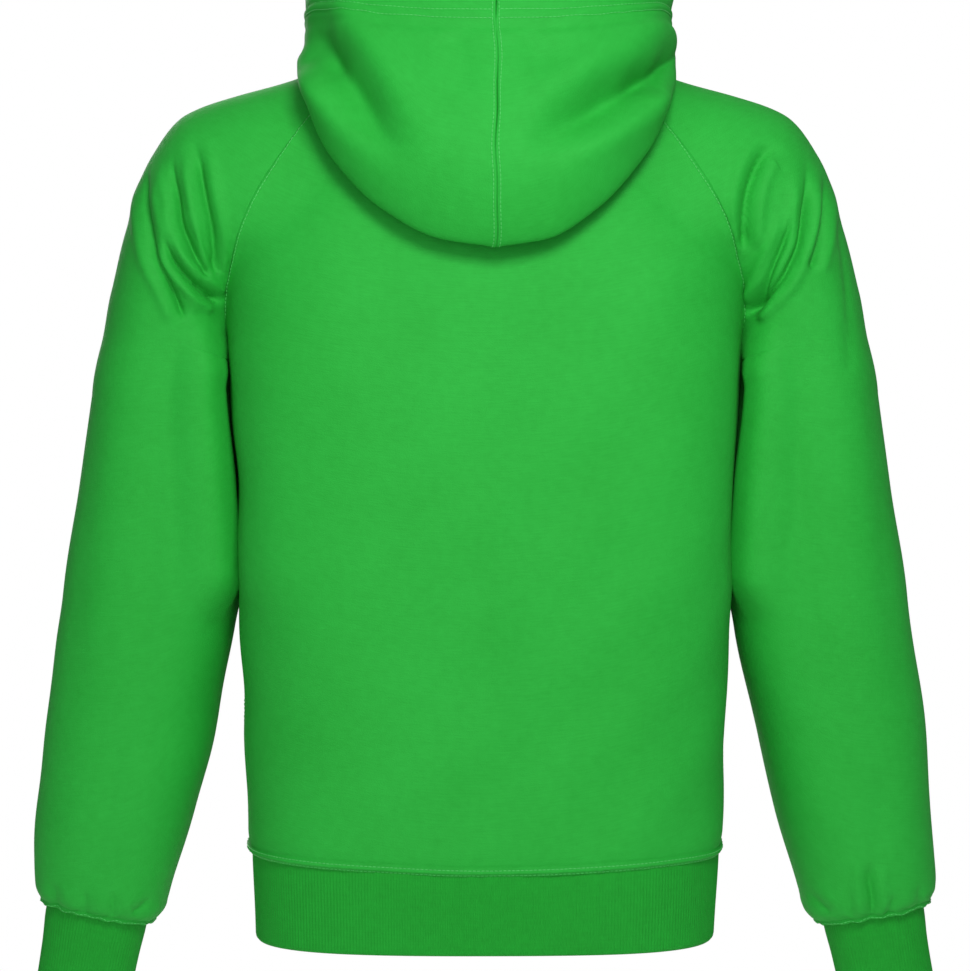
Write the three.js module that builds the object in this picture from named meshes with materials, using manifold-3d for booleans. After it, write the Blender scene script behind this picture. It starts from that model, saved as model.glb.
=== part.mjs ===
// A zip-up hoodie with raglan sleeves, filled out as if worn, hood lying down on the back.
//
// Frame: millimetres, +Z up, the front faces -Y, the wearer's left is +X. The origin is the middle
// of the neck opening at the height of the shoulder points. Every cloth piece is a thin wall. The
// body panels and the sleeve caps lie on one worn form, the soft union of a trunk and two arms, and
// they meet on shared raglan seam lines, each edge drawn back a little from the seam.

import * as THREE from 'three';
import { mergeVertices } from 'three/addons/utils/BufferGeometryUtils.js';
import Module from 'manifold-3d';

// ---- driving sizes
const FLEECE = 2;          // wall of the brushed fleece
const RIB = 3;             // wall of the doubled rib
const SEAM_GAP = 0.25;     // how far each cut edge stands back from its seam line
const CLEARANCE = 3;       // hood above the body it lies on
const FRONT_EDGE = 5.5;    // half the slot between the two front edges, filled by the zip

// Trunk, horizontal sections: half width, depth to the back and to the front, and how square the
// corners are (2 is an ellipse).
const TRUNK = [
  { z: 26, side: 40, back: 30, front: 26, corner: 2.1 },
  { z: 12, side: 78, back: 58, front: 50, corner: 2.1 },
  { z: 0, side: 97, back: 68, front: 60, corner: 2.2 },
  { z: -20, side: 124, back: 84, front: 68, corner: 2.3 },
  { z: -60, side: 163, back: 102, front: 82, corner: 2.5 },
  { z: -100, side: 186, back: 115, front: 101, corner: 2.7 },
  { z: -150, side: 205, back: 126, front: 119, corner: 3.1 },
  { z: -200, side: 207, back: 132, front: 129, corner: 3.2 },
  { z: -260, side: 203, back: 134, front: 133, corner: 3 },
  { z: -330, side: 197, back: 133, front: 133, corner: 3 },
  { z: -420, side: 193, back: 129, front: 130, corner: 3 },
  { z: -500, side: 187, back: 124, front: 126, corner: 3 },
  { z: -575, side: 183.5, back: 120, front: 122, corner: 3 },
  { z: -625, side: 182, back: 118, front: 120, corner: 3 },
];

// The upper sleeve fans round a pivot beside the underarm. Each fan plane, at an angle above the
// horizontal, holds one section from its inner to its outer reach, with a half depth.
const PIVOT = { x: 150, z: -260 };
const SHOULDER = [
  { angle: 0, inner: 56, outer: 154.5, depth: 77 },
  { angle: 15, inner: 58, outer: 152, depth: 80 },
  { angle: 30, inner: 62, outer: 160.5, depth: 84 },
  { angle: 45, inner: 69, outer: 180, depth: 88 },
  { angle: 60, inner: 80, outer: 213.5, depth: 91 },
  { angle: 70, inner: 82, outer: 231.5, depth: 92 },
  { angle: 80, inner: 78, outer: 235, depth: 91 },
  { angle: 90, inner: 70, outer: 239, depth: 86 },
  { angle: 104, inner: 60, outer: 259, depth: 74 },
];
const ARM_CORNER = 2.3;

// The lower sleeve and the cuff: sections that tilt with the forearm, by middle, half width, half
// depth, forward swing and tilt (rise for each millimetre outwards).
const FOREARM = [
  { z: -260, x: 255.3, half: 49.2, depth: 77, y: 0, tilt: 0 },
  { z: -330, x: 257.2, half: 57.8, depth: 71, y: -1, tilt: 0.02 },
  { z: -420, x: 262.5, half: 66, depth: 65, y: -4, tilt: 0.08 },
  { z: -500, x: 275, half: 65, depth: 60, y: -10, tilt: 0.14 },
  { z: -575, x: 289, half: 60, depth: 56, y: -17, tilt: 0.17 },
  { z: -630, x: 300, half: 54, depth: 51, y: -23, tilt: 0.19 },
  { z: -650, x: 303.5, half: 51.5, depth: 48, y: -25, tilt: 0.2 },
  { z: -660, x: 305.3, half: 48, depth: 44.5, y: -26.5, tilt: 0.2 },
  { z: -667, x: 306.6, half: 41.3, depth: 36.9, y: -27.5, tilt: 0.2 },
];
const CUFF = [
  { z: -660, x: 305.3, half: 38.5, depth: 34.5, y: -26.5, tilt: 0.2 },
  { z: -670, x: 307.3, half: 39, depth: 34.5, y: -28, tilt: 0.2 },
  { z: -695, x: 312.3, half: 37.5, depth: 33, y: -31, tilt: 0.2 },
  { z: -726, x: 318.5, half: 36.5, depth: 32, y: -34, tilt: 0.2 },
];

// Raglan seams: how far out the seam runs at each height, above the armpit crease.
const RAGLAN_BACK = [
  { z: -3, x: 88 },
  { z: -30, x: 113 },
  { z: -56, x: 133 },
  { z: -98, x: 161 },
  { z: -135, x: 182 },
  { z: -160, x: 193 },
  { z: -185, x: 198 },
];
const RAGLAN_FRONT = [
  { z: -14, x: 84 },
  { z: -50, x: 122 },
  { z: -88, x: 150 },
  { z: -122, x: 174 },
  { z: -150, x: 189 },
  { z: -185, x: 198 },
];
const CREASE = { starts: -140, whole: -178 };   // heights where the armpit crease takes over
const PARTING = { starts: -120, whole: -175 };  // heights where trunk and arm part their outward directions
const BLEND = { soft: 44, sharp: 3, above: -100, below: -190 };  // rounding between trunk and arm

// Neckline and hem heights. The neckline rises over the shoulders and scoops towards the front.
const NECK = { back: -9, front: -72, shoulderRise: 5, scoop: 1.3 };
const HEM = { side: -610, centre: -617 };
const WAISTBAND = { tuck: 5, bottom: -676, topInset: 2.4, bottomInset: 6 };

// Hood: sections in upright planes round the neck, from the centre back (0) to the centre front
// (180 degrees). After the neck seam come the stand, the inner wall, the bottom of the pouch, the
// bulge of the outer wall and the rim, each as a distance out from the neck's middle and a height.
// The rim stands highest beside the neck.
const HOOD = [
  [0, 84, 30, 113, -50, 146, -158, 173, -98, 134, 37],
  [15, 86, 31, 115, -46, 150, -152, 175, -93, 136, 38],
  [30, 92, 33, 122, -36, 158, -129, 178, -78, 141, 42],
  [45, 100, 36, 127, -16, 164, -88, 179, -48, 146, 48],
  [60, 106, 38, 126, 2, 157, -40, 167, -18, 146, 54],
  [80, 108, 38, 120, 16, 138, -8, 149, 0, 137, 54],
  [100, 102, 30, 112, 12, 128, -8, 140, 0, 130, 42],
  [125, 95, 4, 104, -10, 118, -26, 128, -16, 120, 10],
  [150, 90, -28, 97, -36, 108, -46, 116, -38, 111, -21],
  [180, 91, -63, 92, -58, 94, -54, 96, -50, 98, -46],
].map(([around, standR, standZ, innerR, innerZ, bottomR, bottomZ, bulgeR, bulgeZ, rimR, rimZ]) => ({
  around, standR, standZ, innerR, innerZ, bottomR, bottomZ, bulgeR, bulgeZ, rimR, rimZ,
}));
const NECK_LIFT = 0.6;     // the hood's cut edge above the neckline
const HOOD_SEWN = 0.08;    // share of each hood section that is held down by the neck seam

// Zip: tape, chain, slider and pull. Depths count inwards from the face of the front edges.
const TAPE = { inner: 1.2, outer: 15, thickness: 1, behind: 0.3, top: 1, bottom: 0.5, aboveBand: 1 };
const CHAIN = { half: 2.8, thickness: 2.4, above: 0.3, inSlider: 3, toBox: 0.4 };
const SLIDER = {
  below: 9.5, length: 10, half: 4.4, plate: 1.3, flange: 1, gap: 0.35, post: 0.7, postLength: 2.4,
};
const LUG = { width: 2.4, radius: 3, hole: 1.6, foot: 0.6, rise: 0.2 };
const PULL = { pin: 1, length: 28, width: 8.4, taper: 0.75, corner: 2, thickness: 1.6, slot: 8, play: 0.4 };
const STOP = { width: 1.8, length: 2.6, thickness: 2.2, below: 1.6, fromEdge: 0.2 };
const BOX = { half: 3.6, length: 6, thickness: 3.2, fromEnd: 1.6 };
const OVERLAP = 0.1;       // how far the blocks of one casting run into each other

// How finely each piece is divided.
const ROWS = { cap: 11, body: 7, sleeve: 11, hood: 16, cuff: 3, band: 3 };
const COLUMNS = { halfBack: 8, front: 8, sleeve: 17, hood: 13, cuff: 18 };
const SLEEVE_EASE = 1.8;   // rings crowd towards the sleeve end
const NEAR_SEAM = 3;       // rows are even between the seams, and bend with this power to meet them
const TURN_NEAR_SEAM = 2.5;
const SEAM_SAMPLES = 160;  // places tried along a raglan seam before they are evenly spaced
const SEAM_EASE = 1.7;     // those places crowd towards the underarm
const CLEAR_OF_ARM = 0.3;  // share of the quarter turn that the arm never reaches
const HALVINGS = 40;       // how often a crossing is halved
const WELD = 1e-4;         // points closer than this are one point

// ---- small helpers
const radians = THREE.MathUtils.degToRad;
const { lerp, smoothstep, clamp } = THREE.MathUtils;
const point = (x, y, z) => new THREE.Vector3(x, y, z);
const steps = (count) => Array.from({ length: count + 1 }, (_, i) => i / count);
const bothSides = (count) => steps(2 * count).map((v) => 2 * v - 1);

// A smooth curve through a table's rows: returns a function from the key column to all the others.
function throughRows(rows, key) {
  const sorted = [...rows].sort((a, b) => a[key] - b[key]);
  const names = Object.keys(rows[0]).filter((name) => name !== key);
  const last = sorted.length - 1;
  const rise = (name, i) => (sorted[i + 1][name] - sorted[i][name]) / (sorted[i + 1][key] - sorted[i][key]);
  const slope = (name, i) => {
    if (i === 0) return rise(name, 0);
    if (i === last) return rise(name, last - 1);
    const before = rise(name, i - 1);
    const after = rise(name, i);
    return before * after <= 0 ? 0 : (2 * before * after) / (before + after);
  };
  return (value) => {
    const at = clamp(value, sorted[0][key], sorted[last][key]);
    const i = clamp(sorted.findIndex((row) => row[key] >= at) - 1, 0, last - 1);
    const width = sorted[i + 1][key] - sorted[i][key];
    const t = (at - sorted[i][key]) / width;
    const result = {};
    for (const name of names) {
      result[name] = (2 * t ** 3 - 3 * t ** 2 + 1) * sorted[i][name]
        + (t ** 3 - 2 * t ** 2 + t) * width * slope(name, i)
        + (3 * t ** 2 - 2 * t ** 3) * sorted[i + 1][name]
        + (t ** 3 - t ** 2) * width * slope(name, i + 1);
    }
    return result;
  };
}

const trunkAt = throughRows(TRUNK, 'z');
const shoulderAt = throughRows(SHOULDER, 'angle');
const forearmAt = throughRows(FOREARM, 'z');
const cuffAt = throughRows(CUFF, 'z');
const hoodAt = throughRows(HOOD, 'around');

// Halves an interval until it holds the place where a function turns from negative to positive.
function crossing(test, negative, positive) {
  let low = negative;
  let high = positive;
  for (let i = 0; i < HALVINGS; i += 1) {
    const middle = (low + high) / 2;
    if (test(middle) < 0) low = middle; else high = middle;
  }
  return (low + high) / 2;
}

// Walks out from a point inside the form, and returns the first point of its surface.
function firstExit(field, from, direction) {
  const stride = 4;
  const along = (distance) => from.clone().addScaledVector(direction, distance);
  let distance = stride;
  while (field(along(distance)) < 0) distance += stride;
  return along(crossing((d) => field(along(d)), distance - stride, distance));
}

// ---- the worn form: negative inside, about the distance in millimetres outside
function trunkField(p) {
  const s = trunkAt(p.z);
  const depth = p.y > 0 ? s.back : s.front;
  const sum = (Math.abs(p.x) / s.side) ** s.corner + (Math.abs(p.y) / depth) ** s.corner;
  const reach = sum ** (1 / s.corner);
  return (reach - 1) * Math.min(s.side, depth);
}

function armField(p) {
  const outwards = Math.abs(p.x) - PIVOT.x;
  const upwards = p.z - PIVOT.z;
  const s = shoulderAt(THREE.MathUtils.radToDeg(Math.atan2(upwards, outwards)));
  const middle = (s.outer + s.inner) / 2;
  const half = (s.outer - s.inner) / 2;
  const along = Math.abs(Math.hypot(outwards, upwards) - middle) / half;
  return ((along ** ARM_CORNER + (Math.abs(p.y) / s.depth) ** ARM_CORNER) ** (1 / ARM_CORNER) - 1) * half;
}

function wornForm(p) {
  const trunk = trunkField(p);
  const arm = armField(p);
  const round = lerp(BLEND.sharp, BLEND.soft, smoothstep(p.z, BLEND.below, BLEND.above));
  const near = Math.max(round - Math.abs(trunk - arm), 0) / round;
  return Math.min(trunk, arm) - (near * near * round) / 4;
}

// What the body panels lie on: the worn form, and in the armpit the trunk alone.
function bodyField(p) {
  return lerp(wornForm(p), trunkField(p), smoothstep(-p.z, -CREASE.starts, -CREASE.whole));
}

// The outward direction of a field at a point, from its differences.
function outwardOf(field, p) {
  const d = 0.5;
  const at = (dx, dy, dz) => field(point(p.x + dx, p.y + dy, p.z + dz));
  const difference = (dx, dy, dz) => at(dx, dy, dz) - at(-dx, -dy, -dz);
  return point(difference(d, 0, 0), difference(0, d, 0), difference(0, 0, d)).normalize();
}

// A point on the trunk's surface at a height, and at a turn from the centre back (0) towards the
// wearer's left (90) and the centre front (180 degrees).
function bodyPoint(turn, z, field = bodyField) {
  return firstExit(field, point(0, 0, z), point(Math.sin(radians(turn)), Math.cos(radians(turn)), 0));
}

// ---- raglan seams
const underarmZ = crossing((z) => -armField(point(trunkAt(z).side, 0, z)), PIVOT.z, CREASE.whole);

// The turn at which the arm leaves the trunk, at one height in the armpit.
function creaseTurn(z, front) {
  const turnAt = (share) => (front ? 180 - 90 * share : 90 * share);
  return turnAt(crossing((share) => -armField(bodyPoint(turnAt(share), z, trunkField)), CLEAR_OF_ARM, 1));
}

// A raglan seam from the neckline to the underarm, as evenly spaced places { turn, z, spot }.
function raglanSeam(table, front, count) {
  const outAt = throughRows(table, 'z');
  const top = table[0].z;
  const dense = steps(SEAM_SAMPLES).map((t) => {
    const z = underarmZ + (top - underarmZ) * (1 - t) ** SEAM_EASE;
    const level = Math.max(z, table[table.length - 1].z);
    const spot = firstExit(wornForm, point(outAt(level).x, 0, level), point(0, front ? -1 : 1, 0));
    const drawn = THREE.MathUtils.radToDeg(Math.atan2(spot.x, spot.y));
    const inCrease = z < CREASE.starts ? creaseTurn(z, front) : drawn;
    const turn = lerp(drawn, inCrease, smoothstep(-z, -CREASE.starts, -CREASE.whole));
    return { turn: t === 1 ? 90 : turn, z };
  });
  for (const place of dense) place.spot = bodyPoint(place.turn, place.z);
  const lengths = [0];
  for (let i = 1; i < dense.length; i += 1) {
    lengths.push(lengths[i - 1] + dense[i].spot.distanceTo(dense[i - 1].spot));
  }
  return steps(count).map((t) => {
    const wanted = t * lengths[lengths.length - 1];
    const i = clamp(lengths.findIndex((length) => length >= wanted), 1, dense.length - 1);
    const share = (wanted - lengths[i - 1]) / (lengths[i] - lengths[i - 1]);
    const turn = lerp(dense[i - 1].turn, dense[i].turn, share);
    const z = lerp(dense[i - 1].z, dense[i].z, share);
    return { turn, z, spot: bodyPoint(turn, z) };
  });
}

const seamBack = raglanSeam(RAGLAN_BACK, false, ROWS.cap);
const seamFront = raglanSeam(RAGLAN_FRONT, true, ROWS.cap);

// The height of the neckline at a turn: nearly level behind the seams, falling to the centre front.
const topBack = seamBack[0];
const topFront = seamFront[0];
function neckHeight(turn) {
  if (turn < topBack.turn) return lerp(NECK.back, topBack.z, (turn / topBack.turn) ** 2);
  if (turn < topFront.turn) {
    const share = (turn - topBack.turn) / (topFront.turn - topBack.turn);
    return lerp(topBack.z, topFront.z, share) + 4 * NECK.shoulderRise * share * (1 - share);
  }
  const share = (180 - turn) / (180 - topFront.turn);
  return lerp(NECK.front, topFront.z, share ** NECK.scoop);
}
const hemHeight = (turn) => lerp(HEM.side, HEM.centre, Math.cos(radians(turn)) ** 2);

// ---- walls
// Turns a grid of places { p, n } (point and outward direction) into one closed wall. From the row
// wrapFrom on, the last column is the first one, which closes the rows into rings.
function wall(grid, thickness, wrapFrom = Infinity) {
  const rows = grid.length;
  const columns = grid[0].length;
  const numbers = new Map();
  const outer = [];
  const numberOf = (i, j) => {
    const column = j === columns - 1 && i >= wrapFrom ? 0 : j;
    const key = i * columns + column;
    if (!numbers.has(key)) {
      numbers.set(key, outer.length);
      outer.push(grid[i][column]);
    }
    return numbers.get(key);
  };
  const faces = [];
  for (let i = 0; i < rows - 1; i += 1) {
    for (let j = 0; j < columns - 1; j += 1) {
      const corners = [numberOf(i, j), numberOf(i + 1, j), numberOf(i + 1, j + 1), numberOf(i, j + 1)];
      const [a, b, c, d] = corners;
      const across = (k, m) => outer[k].p.distanceTo(outer[m].p);
      if (across(a, c) < across(b, d)) faces.push([a, b, c], [a, c, d]);
      else faces.push([a, b, d], [b, c, d]);
    }
  }
  const sound = faces.filter(([a, b, c]) => a !== b && b !== c && c !== a);
  const first = sound[0].map((k) => outer[k]);
  const facing = first[1].p.clone().sub(first[0].p).cross(first[2].p.clone().sub(first[0].p));
  const outFaces = facing.dot(first[0].n) > 0 ? sound : sound.map(([a, b, c]) => [a, c, b]);
  const inner = outer.map(({ p, n }) => p.clone().addScaledVector(n, -thickness));
  const count = outer.length;
  const triangles = [...outFaces, ...outFaces.map(([a, b, c]) => [a + count, c + count, b + count])];
  const edges = new Set(outFaces.flatMap(([a, b, c]) => [`${a} ${b}`, `${b} ${c}`, `${c} ${a}`]));
  for (const edge of edges) {
    const [a, b] = edge.split(' ').map(Number);
    if (edges.has(`${b} ${a}`)) continue;
    triangles.push([b, a, a + count], [b, a + count, b + count]);
  }
  const geometry = new THREE.BufferGeometry();
  const vertices = [...outer.map(({ p }) => p), ...inner];
  const places = vertices.flatMap((v) => v.toArray());
  geometry.setAttribute('position', new THREE.Float32BufferAttribute(places, 3));
  geometry.setIndex(triangles.flat());
  return geometry;
}

// Draws the open edges of a grid back from their seam lines, towards the inside of the piece.
function drawBack(grid, wrapFrom = Infinity, gap = SEAM_GAP) {
  const rows = grid.length;
  const columns = grid[0].length;
  const moved = grid.map((row) => row.map(({ p, n }) => ({ p: p.clone(), n })));
  const towards = (i, j, ...targets) => {
    const aim = point(0, 0, 0);
    for (const [a, b] of targets) aim.add(grid[a][b].p.clone().sub(grid[i][j].p).normalize());
    moved[i][j].p.addScaledVector(aim.normalize(), gap);
  };
  for (let i = 0; i < rows; i += 1) {
    for (let j = 0; j < columns; j += 1) {
      const endRow = i === 0 || i === rows - 1;
      const sideColumn = (j === 0 || j === columns - 1) && i <= wrapFrom;
      if (sideColumn && i === wrapFrom) towards(i, j, [i, 1], [i, columns - 2], [i + 1, 0]);
      else if (endRow || sideColumn) {
        towards(i, j, [clamp(i, 1, rows - 2), sideColumn ? clamp(j, 1, columns - 2) : j]);
      }
    }
  }
  return moved;
}

const mirrored = (grid) => grid.map((row) => row.map(({ p, n }) => ({
  p: point(-p.x, p.y, p.z), n: point(-n.x, n.y, n.z),
})));

// ---- body panels
// In the armpit the trunk and the arm keep their own outward directions, and above it they share one.
const apart = (z) => smoothstep(-z, -PARTING.starts, -PARTING.whole);
const bodyOutward = (p) => outwardOf(wornForm, p).multiplyScalar(1 - apart(p.z))
  .addScaledVector(outwardOf(trunkField, p), apart(p.z)).normalize();
const armOutward = (p) => outwardOf(wornForm, p).multiplyScalar(1 - apart(p.z))
  .addScaledVector(outwardOf(armField, p), apart(p.z)).normalize();

function bodyPlace(turn, z) {
  const side = Math.sign(turn) || 1;
  const p = bodyPoint(Math.abs(turn), z);
  const n = bodyOutward(p);
  return { p: point(side * p.x, p.y, p.z), n: point(side * n.x, n.y, n.z) };
}

const bentTurn = (v, seamTurn) => v * 90 - Math.sign(v) * (90 - seamTurn) * Math.abs(v) ** TURN_NEAR_SEAM;
const bentHeight = (v, i, seams) => (
  lerp(lerp(seams[0].z, underarmZ, i / ROWS.cap), seams[i].z, Math.abs(v) ** NEAR_SEAM));

function backGrid() {
  const across = bothSides(COLUMNS.halfBack);
  const upper = seamBack.map((seam, i) => across.map((v) => {
    const turn = bentTurn(v, seam.turn);
    const dip = (neckHeight(Math.min(Math.abs(turn), topBack.turn)) - topBack.z) * (1 - i / ROWS.cap);
    return bodyPlace(turn, bentHeight(v, i, seamBack) + dip);
  }));
  const lower = steps(ROWS.body).slice(1).map((t) => across.map((v) => (
    bodyPlace(90 * v, lerp(underarmZ, hemHeight(90 * v), t)))));
  return [...upper, ...lower];
}

// The turn of the front edge, which runs straight down beside the zip.
function edgeTurn(z) {
  return 180 - THREE.MathUtils.radToDeg(Math.atan2(FRONT_EDGE, trunkAt(z).front));
}

function frontGrid() {
  const across = steps(COLUMNS.front);
  const upper = seamFront.map((seam, i) => across.map((v) => {
    const fromSide = 1 - v;
    const even = 180 - bentTurn(fromSide, 180 - seam.turn);
    const centreFall = (neckHeight(Math.max(even, topFront.turn)) - topFront.z) * (1 - i / ROWS.cap);
    const z = bentHeight(fromSide, i, seamFront) + centreFall;
    return bodyPlace(Math.min(even, edgeTurn(z)), z);
  }));
  const lower = steps(ROWS.body).slice(1).map((t) => across.map((v) => {
    const z = lerp(underarmZ, hemHeight(90 + 90 * v), t);
    return bodyPlace(lerp(90, edgeTurn(z), v), z);
  }));
  return [...upper, ...lower];
}

// ---- sleeves
// Fan coordinates of a point: its angle above the pivot, and its turn round the section's middle.
function fanOf(p) {
  const angle = THREE.MathUtils.radToDeg(Math.atan2(p.z - PIVOT.z, p.x - PIVOT.x));
  const s = shoulderAt(angle);
  const reach = Math.hypot(p.x - PIVOT.x, p.z - PIVOT.z);
  return { angle, turn: THREE.MathUtils.radToDeg(Math.atan2(p.y, reach - (s.outer + s.inner) / 2)) };
}

function fanPoint({ angle, turn }, field) {
  const s = shoulderAt(angle);
  const out = point(Math.cos(radians(angle)), 0, Math.sin(radians(angle)));
  const middle = point(PIVOT.x, 0, PIVOT.z).addScaledVector(out, (s.outer + s.inner) / 2);
  const direction = out.clone().multiplyScalar(Math.cos(radians(turn)));
  direction.y = Math.sin(radians(turn));
  return firstExit(field, middle, direction);
}

// A point of a tilted section { x, y, z, half, depth, tilt }, at a turn from its outer side.
function sectionPoint(s, turn, corner = ARM_CORNER) {
  const cosine = Math.cos(radians(turn));
  const sine = Math.sin(radians(turn));
  const size = (Math.abs(cosine / s.half) ** corner + Math.abs(sine / s.depth) ** corner) ** (-1 / corner);
  return point(s.x + size * cosine, s.y + size * sine, s.z + s.tilt * size * cosine);
}

// Gives each point of a grid its outward direction, across its neighbours in a ring and between rings.
function withOutward(rings) {
  const last = rings[0].length - 1;
  return rings.map((ring, i) => ring.map((p, j) => {
    const round = ring[j === last ? 1 : j + 1].clone().sub(ring[j === 0 ? last - 1 : j - 1]);
    const down = rings[Math.min(i + 1, rings.length - 1)][j].clone().sub(rings[Math.max(i - 1, 0)][j]);
    return { p, n: round.cross(down).normalize() };
  }));
}

function sleeveGrid() {
  const turns = steps(COLUMNS.sleeve);
  const neck = turns.map((v) => {
    const turn = lerp(topBack.turn, topFront.turn, v);
    return bodyPoint(turn, neckHeight(turn));
  });
  const ends = seamBack.map((seam, i) => [fanOf(seam.spot), fanOf(seamFront[i].spot)]);
  ends[ROWS.cap][0].turn = 180;
  ends[ROWS.cap][1].turn = -180;
  const between = (i, v, name) => lerp(ends[i][0][name], ends[i][1][name], v);
  const straight = (i, v) => ({
    angle: lerp(
      lerp(between(0, v, 'angle'), between(ROWS.cap, v, 'angle'), i / ROWS.cap),
      between(i, v, 'angle'),
      Math.abs(2 * v - 1) ** NEAR_SEAM,
    ),
    turn: between(i, v, 'turn'),
  });
  const cap = ends.map((_, i) => turns.map((v, j) => {
    if (j === 0) return seamBack[i].spot.clone();
    if (j === turns.length - 1) return seamFront[i].spot.clone();
    if (i === 0) return neck[j];
    const at = straight(i, v);
    const fromNeck = fanOf(neck[j]);
    const pull = (1 - i / ROWS.cap) ** 2;
    at.angle += (fromNeck.angle - straight(0, v).angle) * pull;
    at.turn += (fromNeck.turn - straight(0, v).turn) * pull;
    return fanPoint(at, i === ROWS.cap ? armField : wornForm);
  }));
  const capPlaces = cap.map((row) => row.map((p) => ({ p, n: armOutward(p) })));
  const ringAngles = [ends[ROWS.cap][0].angle * 0.5, 0];
  const end = FOREARM[FOREARM.length - 1].z;
  const shares = steps(ROWS.sleeve - ringAngles.length).slice(1);
  const heights = shares.map((t) => lerp(PIVOT.z, end, 1 - (1 - t) ** SLEEVE_EASE));
  const turnAt = (v) => lerp(180, -180, v);
  const rings = [
    ...ringAngles.map((angle) => turns.map((v) => fanPoint({ angle, turn: turnAt(v) }, armField))),
    ...heights.map((z) => turns.map((v) => sectionPoint({ ...forearmAt(z), z }, turnAt(v)))),
  ];
  return [...capPlaces, ...withOutward([cap[ROWS.cap], ...rings]).slice(1)];
}

function cuffGrid() {
  const turns = steps(COLUMNS.cuff);
  const rings = steps(ROWS.cuff).map((t) => {
    const z = lerp(CUFF[0].z, CUFF[CUFF.length - 1].z, t);
    return turns.map((v) => sectionPoint({ ...cuffAt(z), z }, lerp(180, -180, v)));
  });
  return withOutward(rings);
}

// ---- waistband: the trunk's section at the hem, drawn in
function waistbandGrid() {
  const behind = steps(COLUMNS.halfBack).map((v) => 90 * v);
  const before = steps(COLUMNS.front).map((v) => lerp(90, edgeTurn(HEM.centre), v));
  const half = [...behind, ...before.slice(1)];
  const turns = [...half.slice(1).reverse().map((turn) => -turn), ...half];
  return steps(ROWS.band).map((t) => turns.map((signed) => {
    const turn = Math.abs(signed);
    const side = signed < 0 ? -1 : 1;
    const edge = hemHeight(turn);
    const surface = bodyPoint(turn, edge, trunkField);
    const n = outwardOf(trunkField, surface).setZ(0).normalize();
    const p = surface.addScaledVector(n, -lerp(WAISTBAND.topInset, WAISTBAND.bottomInset, t));
    p.z = lerp(edge + WAISTBAND.tuck, WAISTBAND.bottom, t);
    return { p: point(side * p.x, p.y, p.z), n: point(side * n.x, n.y, n.z) };
  }));
}

// ---- hood
// A smooth path through points [r, z], as a function of the share of its length.
function throughPoints(points) {
  const distances = [0];
  for (let i = 1; i < points.length; i += 1) {
    const [from, to] = [points[i - 1], points[i]];
    distances.push(distances[i - 1] + Math.hypot(to[0] - from[0], to[1] - from[1]));
  }
  const last = points.length - 1;
  const slope = (i, axis) => {
    const before = Math.max(i - 1, 0);
    const after = Math.min(i + 1, last);
    return (points[after][axis] - points[before][axis]) / (distances[after] - distances[before]);
  };
  return (share) => {
    const at = share * distances[last];
    const i = clamp(distances.findIndex((d) => d >= at) - 1, 0, last - 1);
    const width = distances[i + 1] - distances[i];
    const t = (at - distances[i]) / width;
    return [0, 1].map((axis) => (2 * t ** 3 - 3 * t ** 2 + 1) * points[i][axis]
      + (t ** 3 - 2 * t ** 2 + t) * width * slope(i, axis)
      + (3 * t ** 2 - 2 * t ** 3) * points[i + 1][axis]
      + (t ** 3 - t ** 2) * width * slope(i + 1, axis));
  };
}

// Moves a point out until it stands a distance clear of the worn form.
function clearOfForm(p, distance) {
  for (let i = 0; i < 4; i += 1) {
    const short = distance - wornForm(p);
    if (short > 0) p.addScaledVector(outwardOf(wornForm, p), short);
  }
  return p;
}

function hoodGrid() {
  const turns = steps(COLUMNS.hood).map((v) => 180 * v);
  const columns = turns.map((turn) => {
    const seam = bodyPoint(turn, neckHeight(turn));
    const s = hoodAt(turn);
    const path = throughPoints([
      [Math.hypot(seam.x, seam.y), seam.z + NECK_LIFT],
      [s.standR, s.standZ],
      [s.innerR, s.innerZ],
      [s.bottomR, s.bottomZ],
      [s.bulgeR, s.bulgeZ],
      [s.rimR, s.rimZ],
    ]);
    return steps(ROWS.hood).map((t) => {
      const [r, z] = path(t);
      const p = point(r * Math.sin(radians(turn)), r * Math.cos(radians(turn)), z);
      return t < HOOD_SEWN ? p : clearOfForm(p, CLEARANCE);
    });
  });
  return columns[0].map((_, i) => columns.map((column, j) => {
    if (i === 0) return { p: column[0], n: bodyOutward(column[0]) };
    const along = column[Math.min(i + 1, ROWS.hood)].clone().sub(column[i - 1]);
    const round = columns[Math.min(j + 1, COLUMNS.hood)][i].clone().sub(columns[Math.max(j - 1, 0)][i]);
    const n = along.cross(round);
    if (j === 0 || j === COLUMNS.hood) n.x = 0;
    return { p: column[i], n: n.normalize() };
  }));
}

// ---- zip
// The line of the front edge, from the neck down: points in the centre plane with their outward
// directions, and how far the tape lies behind the face there.
function zipLine() {
  const centred = ({ p, n }, tapeDepth) => ({
    p: point(0, p.y, p.z), n: point(0, n.y, n.z).normalize(), tapeDepth,
  });
  const rows = frontGrid().map((row) => row[row.length - 1]);
  const onFront = rows.slice(0, -1).map((place) => centred(place, FLEECE + TAPE.behind));
  const band = waistbandGrid().map((row) => row[row.length - 1]);
  const onBand = band.map((place) => centred(place, RIB + TAPE.behind));
  const above = centred(band[0], RIB + TAPE.behind);
  above.p.z += WAISTBAND.tuck + TAPE.aboveBand;
  return [...onFront, above, ...onBand];
}

// A strip along the zip line between two sides x, its face a given distance in front of the tape's.
function zipStrip(line, sides, ahead) {
  return line.map(({ p, n, tapeDepth }) => sides.map((x) => ({
    p: point(x, p.y, p.z).addScaledVector(n, ahead - tapeDepth), n,
  })));
}

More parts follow.
